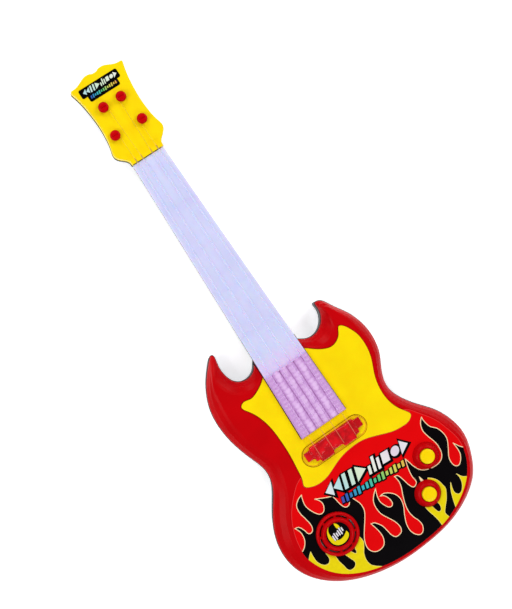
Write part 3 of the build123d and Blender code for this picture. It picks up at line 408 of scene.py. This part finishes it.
def new_piece(name, mesh, material, body):
    piece = bpy.data.objects.new(name, mesh)
    bpy.context.scene.collection.objects.link(piece)
    finish(piece, material)
    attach(piece, body)
    return piece


def mesh_of(form, name):
    """The mesh of a finished form, its faces turned outwards."""
    bmesh.ops.recalc_face_normals(form, faces=form.faces)
    mesh = bpy.data.meshes.new(name)
    form.to_mesh(mesh)
    form.free()
    return mesh


def prism(name, line, low, high):
    """A mesh with a flat bottom and top, and the closed line for its outline."""
    form = bmesh.new()
    rings = [[form.verts.new((spot.x, spot.y, level)) for spot in line] for level in (low, high)]
    form.faces.new(rings[1])
    form.faces.new(reversed(rings[0]))
    for index in range(len(line)):
        after = (index + 1) % len(line)
        form.faces.new((rings[0][index], rings[0][after], rings[1][after], rings[1][index]))
    return mesh_of(form, name)


def band(name, sections, kept):
    """A band along a closed line of four-cornered sections, with flat ends where it isn't kept."""
    form = bmesh.new()
    rows = []
    for corners in sections:
        rows.append([form.verts.new((place.x, place.y, level)) for place, level in corners])
    for index, row in enumerate(rows):
        following = (index + 1) % len(rows)
        after = rows[following]
        if kept[index] and kept[following]:
            for side in range(4):
                beside = (side + 1) % 4
                form.faces.new((row[side], row[beside], after[beside], after[side]))
        elif kept[index]:
            form.faces.new(row)
        elif kept[following]:
            form.faces.new(after)
    loose = [vertex for vertex in form.verts if not vertex.link_faces]
    bmesh.ops.delete(form, geom=loose, context="VERTS")
    return mesh_of(form, name)


def film_stencil():
    """The flame label's own outline, holes included, stretched up through every printed layer."""
    stencil = bpy.data.objects.new("stencil", NODES["flame_label"].data.copy())
    bpy.context.scene.collection.objects.link(stencil)
    middle = FILM_TOP - FILM_DEPTH
    for vertex in stencil.data.vertices:
        vertex.co.z = middle + (STENCIL_REACH if vertex.co.z > middle else -STENCIL_REACH)
    form = bmesh.new()
    form.from_mesh(stencil.data)
    bmesh.ops.remove_doubles(form, verts=form.verts, dist=WELD)
    form.to_mesh(stencil.data)
    form.free()
    return stencil


def clip(piece, stencil):
    """Keeps what of the piece lies within the stencil, by the first solver that leaves something."""
    cut = piece.modifiers.new("clip", "BOOLEAN")
    cut.operation = "INTERSECT"
    cut.object = stencil
    for solver in ("MANIFOLD", "EXACT"):
        cut.solver = solver
        depsgraph = bpy.context.evaluated_depsgraph_get()
        mesh = bpy.data.meshes.new_from_object(piece.evaluated_get(depsgraph))
        if mesh.polygons:
            break
    else:
        raise RuntimeError(f"no solver could clip {piece.name} to the film")
    piece.modifiers.clear()
    piece.data = mesh


def side_steps(line):
    """For each point of a closed line, the mitred step that moves it one unit to the line's right."""
    steps = []
    for index, spot in enumerate(line):
        arriving = (spot - line[index - 1]).normalized()
        leaving = (line[(index + 1) % len(line)] - spot).normalized()
        middle = Vector((arriving.y + leaving.y, -arriving.x - leaving.x, 0))
        if middle.length < 0.3:
            middle = Vector((leaving.y, -leaving.x, 0))
        middle.normalize()
        stretch = max(0.5, middle.dot(Vector((leaving.y, -leaving.x, 0))))
        steps.append(middle / stretch)
    return steps


def grown(line, distance):
    """The closed line moved outwards by a distance. The line runs clockwise or the other way round."""
    area = sum(a.x * b.y - b.x * a.y for a, b in zip(line, line[1:] + line[:1]))
    outward = distance if area > 0 else -distance
    return [spot + step * outward for spot, step in zip(line, side_steps(line))]


def met_from_above(node, spot):
    """Whether a line straight down through this place meets a CAD node, and at what height."""
    start = Vector((spot.x, spot.y, PROBE_HEIGHT))
    hit, place, _, _ = NODES[node].ray_cast(start, Vector((0, 0, -1)))
    return hit, place.z


def on_film(spot):
    """Whether the flame label lies under this place."""
    hit, height = met_from_above("flame_label", spot)
    return hit and height > FILM_TOP - FILM_DEPTH


def outline_mesh(name, line, width, low, high):
    """A printed line along the closed line's stretches that lie on the film."""
    fine = []
    for index, spot in enumerate(line):
        after = line[(index + 1) % len(line)]
        count = max(1, math.ceil((after - spot).length / LINE_STEP))
        fine += [spot.lerp(after, step / count) for step in range(count)]
    sections = []
    for spot, step in zip(fine, side_steps(fine)):
        near, far = spot - step * width / 2, spot + step * width / 2
        shoulders = ((near.lerp(far, 0.25), high), (near.lerp(far, 0.75), high))
        sections.append(((near, low), *shoulders, (far, low)))
    return band(name, sections, [on_film(spot) for spot in fine])


def flames():
    """Black and yellow flames printed on the red film, each with its thin pale outline."""
    stencil = film_stencil()
    layers = (
        ("flames_black", BLACK_FLAMES, INK, "black_ink", CREAM_LINE),
        ("flame_yellow_left", YELLOW_LEFT, 2 * INK, "flame_yellow_ink", PALE_LINE),
        ("flame_yellow_right", YELLOW_RIGHT, 2 * INK, "flame_yellow_ink", PALE_LINE),
        ("flame_yellow_edge", YELLOW_EDGE, 2 * INK, "flame_yellow_ink", PALE_LINE),
        ("flame_black_drop", BLACK_DROP, 3 * INK, "black_ink", PALE_LINE),
        ("flame_white_tick", WHITE_TICK, 2 * INK, "cream_ink", 0),
    )
    for name, points, thickness, ink, line_width in layers:
        line = smooth_outline(points)
        mesh = prism(name, line, FILM_TOP - INK / 2, FILM_TOP + thickness)
        piece = new_piece(name, mesh, INKS[ink], "guitar")
        clip(piece, stencil)
        if line_width:
            pale = INKS["cream_ink"] if points is BLACK_FLAMES else INKS["pale_yellow_ink"]
            top = FILM_TOP + thickness + INK
            rim = outline_mesh(name + "_line", line, line_width, FILM_TOP - INK / 2, top)
            new_piece(name + "_line", rim, pale, "guitar")
    bpy.data.objects.remove(stencil)


# ---------------------------------------------------------------- generic graphics


def turned(points, place, tilt):
    """Points in millimetres turned by a tilt in degrees about the origin and moved to a place."""
    spin = Matrix.Rotation(math.radians(tilt), 3, "Z")
    middle = Vector((place[0] * MM, place[1] * MM, 0))
    return [middle + spin @ Vector((x * MM, y * MM, 0)) for x, y in points]


def slanted(points, lean=0.22):
    """Points leaned over to the right, like the strokes of a fast drawing."""
    return [(x + lean * y, y) for x, y in points]


def bar(left, right, low, high):
    return [(left, low), (right, low), (right, high), (left, high)]


def arrow(left, right, half):
    return [(left, -half), (right, 0), (left, half)]


def disc(middle, radius, corners=20):
    turns = [math.tau * corner / corners for corner in range(corners)]
    return [(middle + radius * math.cos(turn), radius * math.sin(turn)) for turn in turns]


def player_symbols(half):
    """A row of a music player's plain signs: back, pause, play, bars, stop, dot and on."""
    unit = half / 7.0
    back = [[(-x, y) for x, y in reversed(arrow(34.5 * unit, 42.5 * unit, half * 0.92))]]
    back += [[(-x, y) for x, y in reversed(arrow(26.0 * unit, 34.0 * unit, half * 0.92))]]
    pause = [bar(-23.6 * unit, -19.8 * unit, -half, half), bar(-16.6 * unit, -12.8 * unit, -half, half)]
    play = [arrow(-9.8 * unit, 0.4 * unit, half)]
    levels = (0.55, 1.0, 0.75)
    meter = [
        bar((2.4 + 4.9 * step) * unit, (5.2 + 4.9 * step) * unit, -half, half * (2 * level - 1))
        for step, level in enumerate(levels)
    ]
    stop = [bar(17.4 * unit, 25.0 * unit, -half * 0.7, half * 0.7)]
    dot = [disc(31.6 * unit, 4.4 * unit)]
    onward = [arrow(37.4 * unit, 45.4 * unit, half * 0.92)]
    return back + pause + play + meter + stop + dot + onward


def level_bars(count, half, pitch):
    """A row of thin bars whose heights rise and fall in two waves, as on a sound meter."""
    rows = []
    for step in range(count):
        middle = (step - (count - 1) / 2) * pitch
        height = half * (0.76 + 0.24 * math.sin(2.1 * step))
        rows.append(bar(middle - pitch * 0.3, middle + pitch * 0.3, -height, height))
    return rows


def emblem(name, shapes, place, tilt, base, border, ink):
    """Printed shapes on black edging that shows round them, a little more to the lower right."""
    shift = Vector((border * 0.35, -border * 0.45, 0))
    lines = [turned(slanted(shape), place, tilt) for shape in shapes]
    edging = [[spot + shift for spot in grown(line, border)] for line in lines]
    join(name + "_edging", [prism(name, line, base, base + 2 * INK) for line in edging], "black_ink")
    join(name, [prism(name, line, base, base + 4 * INK) for line in lines], ink)


def join(name, meshes, ink):
    """One piece from several meshes."""
    form = bmesh.new()
    for mesh in meshes:
        form.from_mesh(mesh)
        bpy.data.meshes.remove(mesh)
    joined = bpy.data.meshes.new(name)
    form.to_mesh(joined)
    form.free()
    return new_piece(name, joined, INKS[ink], "guitar")


def body_graphics():
    """Plain player signs and a sound meter where the toy's body carries its name."""
    emblem("body_signs", player_symbols(7.4), (10.0, -42.6), -4.0, FILM_TOP, 1.9 * MM, "silver_ink")
    emblem("body_meter", level_bars(16, 3.8, 4.5), (9.5, -57.2), -4.0, FILM_TOP, 1.1 * MM, "rainbow_ink")


def badge_graphics():
    """The same signs, small, on the headstock's black badge."""
    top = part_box("headstock_badge")[1].z
    emblem("badge_signs", player_symbols(2.9), (-0.6, 396.9), 0.0, top, 0.2 * MM, "silver_ink")
    bars = level_bars(13, 1.7, 2.2)
    emblem("badge_meter", bars, (0.0, 390.4), 0.0, top, 0.1 * MM, "badge_rainbow_ink")


def grille_graphics():
    """A yellow crescent, a tick and a small sound meter on the round black label."""
    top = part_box("grille_label")[1].z
    crescent = [
        (-50.5, -67.5, TIP), (-54, -70.5), (-56.4, -76), (-56.2, -82), (-54, -86), (-50.5, -88.4),
        (-45, -89), (-40, -87), (-37.6, -84), (-38.2, -80.5, TIP), (-43, -83.4), (-48, -84),
        (-52, -81.5), (-53.5, -76), (-53, -71),
    ]
    tick = [(-44.6, -67.6, TIP), (-42.6, -69.5), (-41.5, -73), (-42.3, -76, TIP), (-44.5, -73.5), (-45, -70)]
    prints = [prism("print", smooth_outline(points), top, top + INK) for points in (crescent, tick)]
    join("grille_flame", prints, "flame_yellow_ink")
    bars = level_bars(6, 3.6, 2.3)
    emblem("grille_meter", bars, (-46.4, -78.2), 14.0, top, 0.25 * MM, "silver_ink")


# ---------------------------------------------------------------- fingerboard

BOARD_LOW, BOARD_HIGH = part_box("fingerboard")
NUT_HALF = 16.8 * MM
PLAYING_TOP = 34.0 * MM
RELIEF_END = 84.3 * MM
RELIEF_START = BOARD_LOW.y + 0.8 * MM
RELIEF_MARGIN = 1.1 * MM
RELIEF_SUNK = 0.2 * MM
RELIEF_TOP = 1.15 * MM
RELIEF_COLUMNS, RELIEF_ROWS = 120, 168
TINT_START, TINT_END = 78 * MM, 104 * MM

# The relief's own measures are in millimetres.
RELIEF_GROOVES = (-16.3, -7.9, 0.1, 8.2, 17.0)
KNOB_PITCH = 4.3
KNOB_R = 3.0
KNOB_RISE = 0.62
CROWN_RISE = 0.34
END_ROUND = 4.0
STRIP_RISE = 0.56
STRIP_GROOVE = 0.4
STRIP_GROOVE_DEPTH = 0.35
TICK_START, TICK_END = 0.6, 5.2
TICK_DEPTH = 0.2


def board_half(y):
    """Half width of the fingerboard at a place along it."""
    share = (y - BOARD_LOW.y) / (BOARD_HIGH.y - BOARD_LOW.y)
    return BOARD_HIGH.x + share * (NUT_HALF - BOARD_HIGH.x)


def wobble(first, second):
    """A fixed value from -1 to 1 that looks random, the same at each run."""
    return math.sin(127.1 * first + 311.7 * second + 17.3)


def column_height(x, y):
    """Height in millimetres of the moulded relief over the body, at x and y in millimetres."""
    inner = [groove for groove in RELIEF_GROOVES if groove <= x]
    outer = [groove for groove in RELIEF_GROOVES if groove > x]
    row = math.floor(y / KNOB_PITCH)
    if not inner or not outer:
        across = RELIEF_GROOVES[0] - x if x < 0 else x - RELIEF_GROOVES[-1]
        tick = math.cos(math.tau * y / KNOB_PITCH) * TICK_DEPTH * (1 + 0.4 * wobble(row, x > 0))
        ticked = TICK_START < across < TICK_END
        return STRIP_RISE + tick * ticked - STRIP_GROOVE_DEPTH * (across < STRIP_GROOVE)
    left, right = inner[-1], outer[0]
    across = (2 * x - left - right) / (right - left)
    crown = CROWN_RISE * math.sqrt(max(0.0, 1 - abs(across) ** 4))
    end = (RELIEF_END / MM - y) / END_ROUND
    crown *= math.sqrt(max(0.0, 1 - max(0.0, 1 - end) ** 2))
    knob = 0.0
    for near in (row - 1, row, row + 1):
        shift = wobble(near, left)
        middle_x = (left + right) / 2 + 0.5 * shift
        middle_y = (near + 0.5) * KNOB_PITCH + 0.6 * wobble(left, near)
        away = math.hypot(x - middle_x, y - middle_y) / (KNOB_R + 0.3 * shift)
        knob = max(knob, (KNOB_RISE + 0.1 * shift) * math.sqrt(max(0.0, 1 - away * away)))
    return crown + (knob if crown > 0.1 else 0.0)


def fingerboard_relief():
    """The pattern over the body: four rounded columns of small knobs, and ticked side strips."""
    form = bmesh.new()
    grid = []
    for row in range(RELIEF_ROWS + 1):
        y = RELIEF_START + (RELIEF_END - RELIEF_START) * row / RELIEF_ROWS
        half = board_half(y) - RELIEF_MARGIN
        line = []
        for column in range(RELIEF_COLUMNS + 1):
            x = half * (2 * column / RELIEF_COLUMNS - 1)
            line.append(form.verts.new((x, y, PLAYING_TOP + column_height(x / MM, y / MM) * MM)))
        grid.append(line)
    for low, high in zip(grid, grid[1:]):
        for column in range(RELIEF_COLUMNS):
            form.faces.new((low[column], low[column + 1], high[column + 1], high[column])).smooth = True
    rim = [edge for edge in form.edges if edge.is_boundary]
    skirt = bmesh.ops.extrude_edge_only(form, edges=rim)["geom"]
    for vertex in skirt:
        if isinstance(vertex, bmesh.types.BMVert):
            vertex.co.z = PLAYING_TOP - RELIEF_SUNK
    bottom = [edge for edge in form.edges if edge.is_boundary]
    bmesh.ops.edgeloop_fill(form, edges=bottom)
    mesh = mesh_of(form, "fingerboard_relief")
    new_piece("fingerboard_relief", mesh, crystal("crystal_plastic"), "guitar")
    finish(NODES["fingerboard"], board_plastic("board_plastic"))


def board_plastic(name):
    """Frosted plastic that looks lilac over the red and yellow body, and bluish white beyond it."""
    graph = Graph(name)
    along = graph.share("Y", TINT_START, TINT_END)
    tint = graph.ramp(along, (0.0, CRYSTAL), (0.35, LILAC), (1.0, FROSTED))
    cloud = graph.ramp(graph.noise(40.0), (0.3, (0.93, 0.93, 0.95, 1)), (0.7, (1, 1, 1, 1)))
    mixed = graph.node("ShaderNodeMix", data_type="RGBA", blend_type="MULTIPLY")
    mixed.inputs["Factor"].default_value = 1.0
    graph.link(tint, mixed.inputs[6])
    graph.link(cloud, mixed.inputs[7])
    graph.link(mixed.outputs[2], graph.shader.inputs["Base Color"])
    graph.link(graph.spread(graph.noise(140.0), 0.36, 0.5), graph.shader.inputs["Roughness"])
    graph.shader.inputs["Subsurface Weight"].default_value = 0.5
    graph.shader.inputs["Subsurface Scale"].default_value = 0.003
    graph.bump(graph.noise(500.0), 0.3, 0.00004)
    return graph.material


def crystal(name):
    """Clear lilac plastic with a cut pattern, its colour set by height: painted highlight on its knobs and
    painted shade in its grooves.
    """
    graph = Graph(name)
    height = graph.share("Z", PLAYING_TOP, PLAYING_TOP + RELIEF_TOP)
    mottle = graph.multiply_add(graph.noise(700.0, 4.0, 0.7), 0.3, -0.15)
    # painted shade in the grooves and painted highlight on the knob tops, set by height
    tint = graph.ramp(
        graph.total(height, mottle),
        (0.08, GROOVE_SHADE_LILAC), (0.2, CRYSTAL_SHADE), (0.5, CRYSTAL), (0.85, CRYSTAL_HIGHLIGHT),
    )
    graph.link(tint, graph.shader.inputs["Base Color"])
    graph.link(graph.spread(graph.noise(300.0), 0.2, 0.4), graph.shader.inputs["Roughness"])
    graph.bump(graph.noise(900.0, 3.0), 0.5, 0.0001)
    return graph.material


# ---------------------------------------------------------------- bridge

BRIDGE_GRAIN = 0.4 * MM
BRIDGE_WEAR = 44


def softened(node, name, grain, rounds, material):
    """A CAD node's shape with all its edges and corners worn round, standing in for the node."""
    piece = new_piece(name, NODES[node].data.copy(), material, "guitar")
    skin = piece.modifiers.new("skin", "REMESH")
    skin.mode = "VOXEL"
    skin.voxel_size = grain
    skin.use_smooth_shade = True
    wear = piece.modifiers.new("wear", "SMOOTH")
    wear.factor = 0.5
    wear.iterations = rounds
    depsgraph = bpy.context.evaluated_depsgraph_get()
    piece.data = bpy.data.meshes.new_from_object(piece.evaluated_get(depsgraph))
    piece.modifiers.clear()
    finish(piece, material)
    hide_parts(node)


def lumpy_shaded(name, colour):
    """Glossy moulded plastic whose surface swells a little, so its reflections break up; its colour follows
    the swell too, with painted shade in the dips and painted highlight on the rises.
    """
    graph = Graph(name)
    swell = graph.noise(130.0, 2.0, 0.5)
    # painted shade and highlight: darker red in the dips of the swell, lighter red on its rises
    tint = graph.ramp(swell, (0.38, shade(colour, 0.72)), (0.6, shade(colour, 1.12)))
    graph.link(tint, graph.shader.inputs["Base Color"])
    graph.link(graph.spread(graph.noise(90.0), 0.16, 0.3), graph.shader.inputs["Roughness"])
    graph.shader.inputs["Specular IOR Level"].default_value = 0.35
    graph.bump(swell, 1.0, 0.0015)
    return graph.material


# ---------------------------------------------------------------- joint lips, painted shade and highlights

LONGEST_SIDE = 8 * MM
LEVEL_SLACK = 0.02 * MM
PROBE_REACH = 3 * MM
SEAM_LOW, SEAM_HIGH = 0.5 * MM, 0.3 * MM
SEAM_IN = 0.3 * MM
PROUD = 0.05 * MM
GUARD_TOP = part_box("pickguard")[1].z
GAP_WIDTH = 0.6 * MM
GAP_END = 104 * MM

# The oval round the bridge, in millimetres.
OVAL_HALF, OVAL_R, OVAL_Y = 35.7, 10.9, -3.1
RIM_SHRINK = 1.3


def longest_loop(node, level):
    """The longest closed line of a CAD node's sharp edges that lie flat at a level."""
    form = bmesh.new()
    form.from_mesh(NODES[node].data)
    bmesh.ops.remove_doubles(form, verts=form.verts, dist=WELD)
    beside = {}
    for edge in form.edges:
        flat = all(abs(vertex.co.z - level) < LEVEL_SLACK for vertex in edge.verts)
        slopes = sorted(abs(face.normal.z) for face in edge.link_faces)
        if flat and len(slopes) == 2 and slopes[0] < 0.9 and slopes[1] > 0.99:
            first, second = edge.verts
            beside.setdefault(first, []).append(second)
            beside.setdefault(second, []).append(first)
    loops = []
    used = set()
    for start in beside:
        if start in used:
            continue
        loop = [start]
        used.add(start)
        onward = [vertex for vertex in beside[start] if vertex not in used]
        while onward:
            loop.append(onward[0])
            used.add(onward[0])
            onward = [vertex for vertex in beside[loop[-1]] if vertex not in used]
        loops.append([Vector((vertex.co.x, vertex.co.y, 0)) for vertex in loop])
    form.free()
    closed = [loop for loop in loops if (loop[0] - loop[-1]).length < LONGEST_SIDE]
    return max(closed, key=lambda loop: sum((b - a).length for a, b in zip(loop, loop[1:])))


def ring_mesh(name, line, inward, outward, low, high, kept=None):
    """A flat band along a closed line, from a step inside it to a step outside it, where it is kept."""
    sections = []
    for near, far in zip(grown(line, -inward), grown(line, outward)):
        sections.append(((near, low), (near, high), (far, high), (far, low)))
    return band(name, sections, kept or [True] * len(line))


def oval(half_length, radius, middle_y, corners=24):
    """A closed line in the shape of a slot across the guitar, from sizes in millimetres."""
    line = []
    for side in (1, -1):
        for corner in range(corners + 1):
            turn = math.pi * (corner / corners - 0.5)
            reach = half_length - radius + radius * math.cos(turn)
            rise = radius * math.sin(turn)
            line.append(Vector((side * reach * MM, (middle_y + side * rise) * MM, 0)))
    return line


def seam_lip(name, node, outward, outside_only):
    """The dark lip round the lower edge of a front half, only round its outside if so asked."""
    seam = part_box(node)[0].z
    line = longest_loop(node, seam)
    kept = None
    if outside_only:
        kept = [not met_from_above(node, spot)[0] for spot in grown(line, PROBE_REACH)]
    lip = ring_mesh(name, line, SEAM_IN, outward, seam - SEAM_LOW, seam + SEAM_HIGH, kept)
    new_piece(name, lip, MATERIALS["charcoal_plastic"], "guitar")


def face_shade_and_highlight():
    """Painted shade in the gap round the pickguard, and a painted highlight along the edge of the printed
    film.
    """
    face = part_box("pickguard")[0].z
    line = longest_loop("pickguard", face)
    # painted shade: a dark ring along the outside of the pickguard's edge
    gap = ring_mesh("pickguard_shade_gap", line, 0.1 * MM, 0.4 * MM, face - 0.1 * MM, face + 0.35 * MM)
    new_piece("pickguard_shade_gap", gap, printed("painted_gap_shade", PAINTED_GAP_SHADE), "guitar")
    # painted highlight: a lighter red ring along the film's edge
    line = longest_loop("flame_label", FILM_TOP)
    film = ring_mesh("film_edge_highlight", line, 0.3 * MM, 0.1 * MM, face, FILM_TOP + 0.04 * MM)
    new_piece("film_edge_highlight", film, printed("film_edge_highlight", FILM_EDGE_HIGHLIGHT), "guitar")


def board_shade_gaps():
    """Painted shade in the gap along each side of the fingerboard, where it lies over the body."""
    plum = printed("plum_gap_shade", PLUM_GAP_SHADE)
    low, high = BOARD_LOW.y, GAP_END
    for name, side in (("board_shade_gap_left", -1), ("board_shade_gap_right", 1)):
        near, far = (side * (board_half(y) + PROUD) for y in (low, high))
        step = side * GAP_WIDTH
        corners = ((near, low), (near + step, low), (far + step, high), (far, high))
        strip = [Vector((x, y, 0)) for x, y in corners]
        # painted shade: a thin dark strip in the gap beside the board
        gap = prism("board_shade_gap", strip, GUARD_TOP - GAP_WIDTH, GUARD_TOP + PROUD)
        new_piece(name, gap, plum, "guitar")


def recess_shade_and_highlight():
    """Two fine lines for the oval edge round the bridge: a brown painted shade outside an orange painted
    highlight.
    """
    for name, shrink, colour in (
        ("recess_edge_shade", 0.0, RECESS_SHADE_BROWN),
        ("recess_rim_highlight", RIM_SHRINK, RECESS_HIGHLIGHT_ORANGE),
    ):
        line = oval(OVAL_HALF - shrink, OVAL_R - shrink, OVAL_Y)
        ring = ring_mesh(name, line, 0.2 * MM, 0.25 * MM, GUARD_TOP - 0.9 * MM, GUARD_TOP + PROUD)
        new_piece(name, ring, printed(name, colour), "guitar")


def lips_and_painted_lines():
    """Painted shade and painted highlights in fine lines where the pieces meet, and the lips where the two
    halves meet.
    """
    seam_lip("seam_lip", "front_shell", 0.55 * MM, True)
    seam_lip("headstock_lip", "headstock_front", 0.45 * MM, False)
    face_shade_and_highlight()
    board_shade_gaps()
    recess_shade_and_highlight()


# ---------------------------------------------------------------- studio

LIGHT_AIM = (0, 0.12, 0)
LIGHT_SIZE = 1.2
LIGHTS = (
    ("light_left", (-1.5, 0.4, 1.5), 20),
    ("light_right", (1.6, 0.5, 1.4), 20),
    ("light_top", (0.1, 1.9, 1.4), 16),
    ("light_front", (0.0, -1.7, 1.5), 16),
)
CAMERA_PLACE = Vector((-0.117, 0.245, 1.062))
CAMERA_AIM = Vector((0.0085, 0.1472, 0.032))
CAMERA_ROLL = math.radians(-33.54)
SENSOR = 36.0
LENS = 65.58


def area_light(name, place, aim, size, power):
    data = bpy.data.lights.new(name, "AREA")
    data.shape = "SQUARE"
    data.size = size
    data.energy = power
    lamp = bpy.data.objects.new(name, data)
    lamp.location = place
    lamp.rotation_euler = (Vector(aim) - Vector(place)).to_track_quat("-Z", "Y").to_euler()
    bpy.context.scene.collection.objects.link(lamp)


def studio():
    """A pale floor under soft lights well to the sides, so flat faces mirror nothing bright."""
    bpy.ops.mesh.primitive_plane_add(size=8.0, location=(0, 0.15, 0))
    floor = bpy.context.object
    floor.name = "floor"
    graph = Graph("floor_paper")
    graph.link(
        graph.ramp(graph.noise(3.0), (0.3, linear(250, 250, 251)), (0.7, linear(253, 253, 254))),
        graph.shader.inputs["Base Color"],
    )
    graph.shader.inputs["Roughness"].default_value = 0.9
    graph.shader.inputs["Specular IOR Level"].default_value = 0.1
    graph.shader.inputs["Emission Color"].default_value = (1.0, 1.0, 1.0, 1.0)
    graph.shader.inputs["Emission Strength"].default_value = 0.5
    finish(floor, graph.material)
    world = bpy.data.worlds.new("world")
    world.use_nodes = True
    world.node_tree.nodes["Background"].inputs["Color"].default_value = (1.0, 1.0, 1.0, 1.0)
    world.node_tree.nodes["Background"].inputs["Strength"].default_value = 0.16
    bpy.context.scene.world = world
    for name, place, power in LIGHTS:
        area_light(name, place, LIGHT_AIM, LIGHT_SIZE, power)


def camera():
    """The camera stands over the guitar, a little towards the bass side, and rolls it over to the left."""
    data = bpy.data.cameras.new("camera")
    data.sensor_width = SENSOR
    data.lens = LENS
    made = bpy.data.objects.new("camera", data)
    forward = (CAMERA_AIM - CAMERA_PLACE).normalized()
    hint = Vector((-math.sin(CAMERA_ROLL), math.cos(CAMERA_ROLL), 0))
    right = forward.cross(hint).normalized()
    up = right.cross(forward)
    turn = Matrix((right, up, -forward)).transposed().to_4x4()
    made.matrix_world = Matrix.Translation(CAMERA_PLACE) @ turn
    bpy.context.scene.collection.objects.link(made)
    bpy.context.scene.camera = made


def main():
    paint_cad_nodes()
    flames()
    body_graphics()
    badge_graphics()
    grille_graphics()
    fingerboard_relief()
    plastic = lumpy_shaded("bridge_plastic", CAP_RED)
    softened("bridge", "bridge_body", BRIDGE_GRAIN, BRIDGE_WEAR, plastic)
    lips_and_painted_lines()
    studio()
    camera()
    bpy.context.scene.view_settings.view_transform = "Standard"


main()
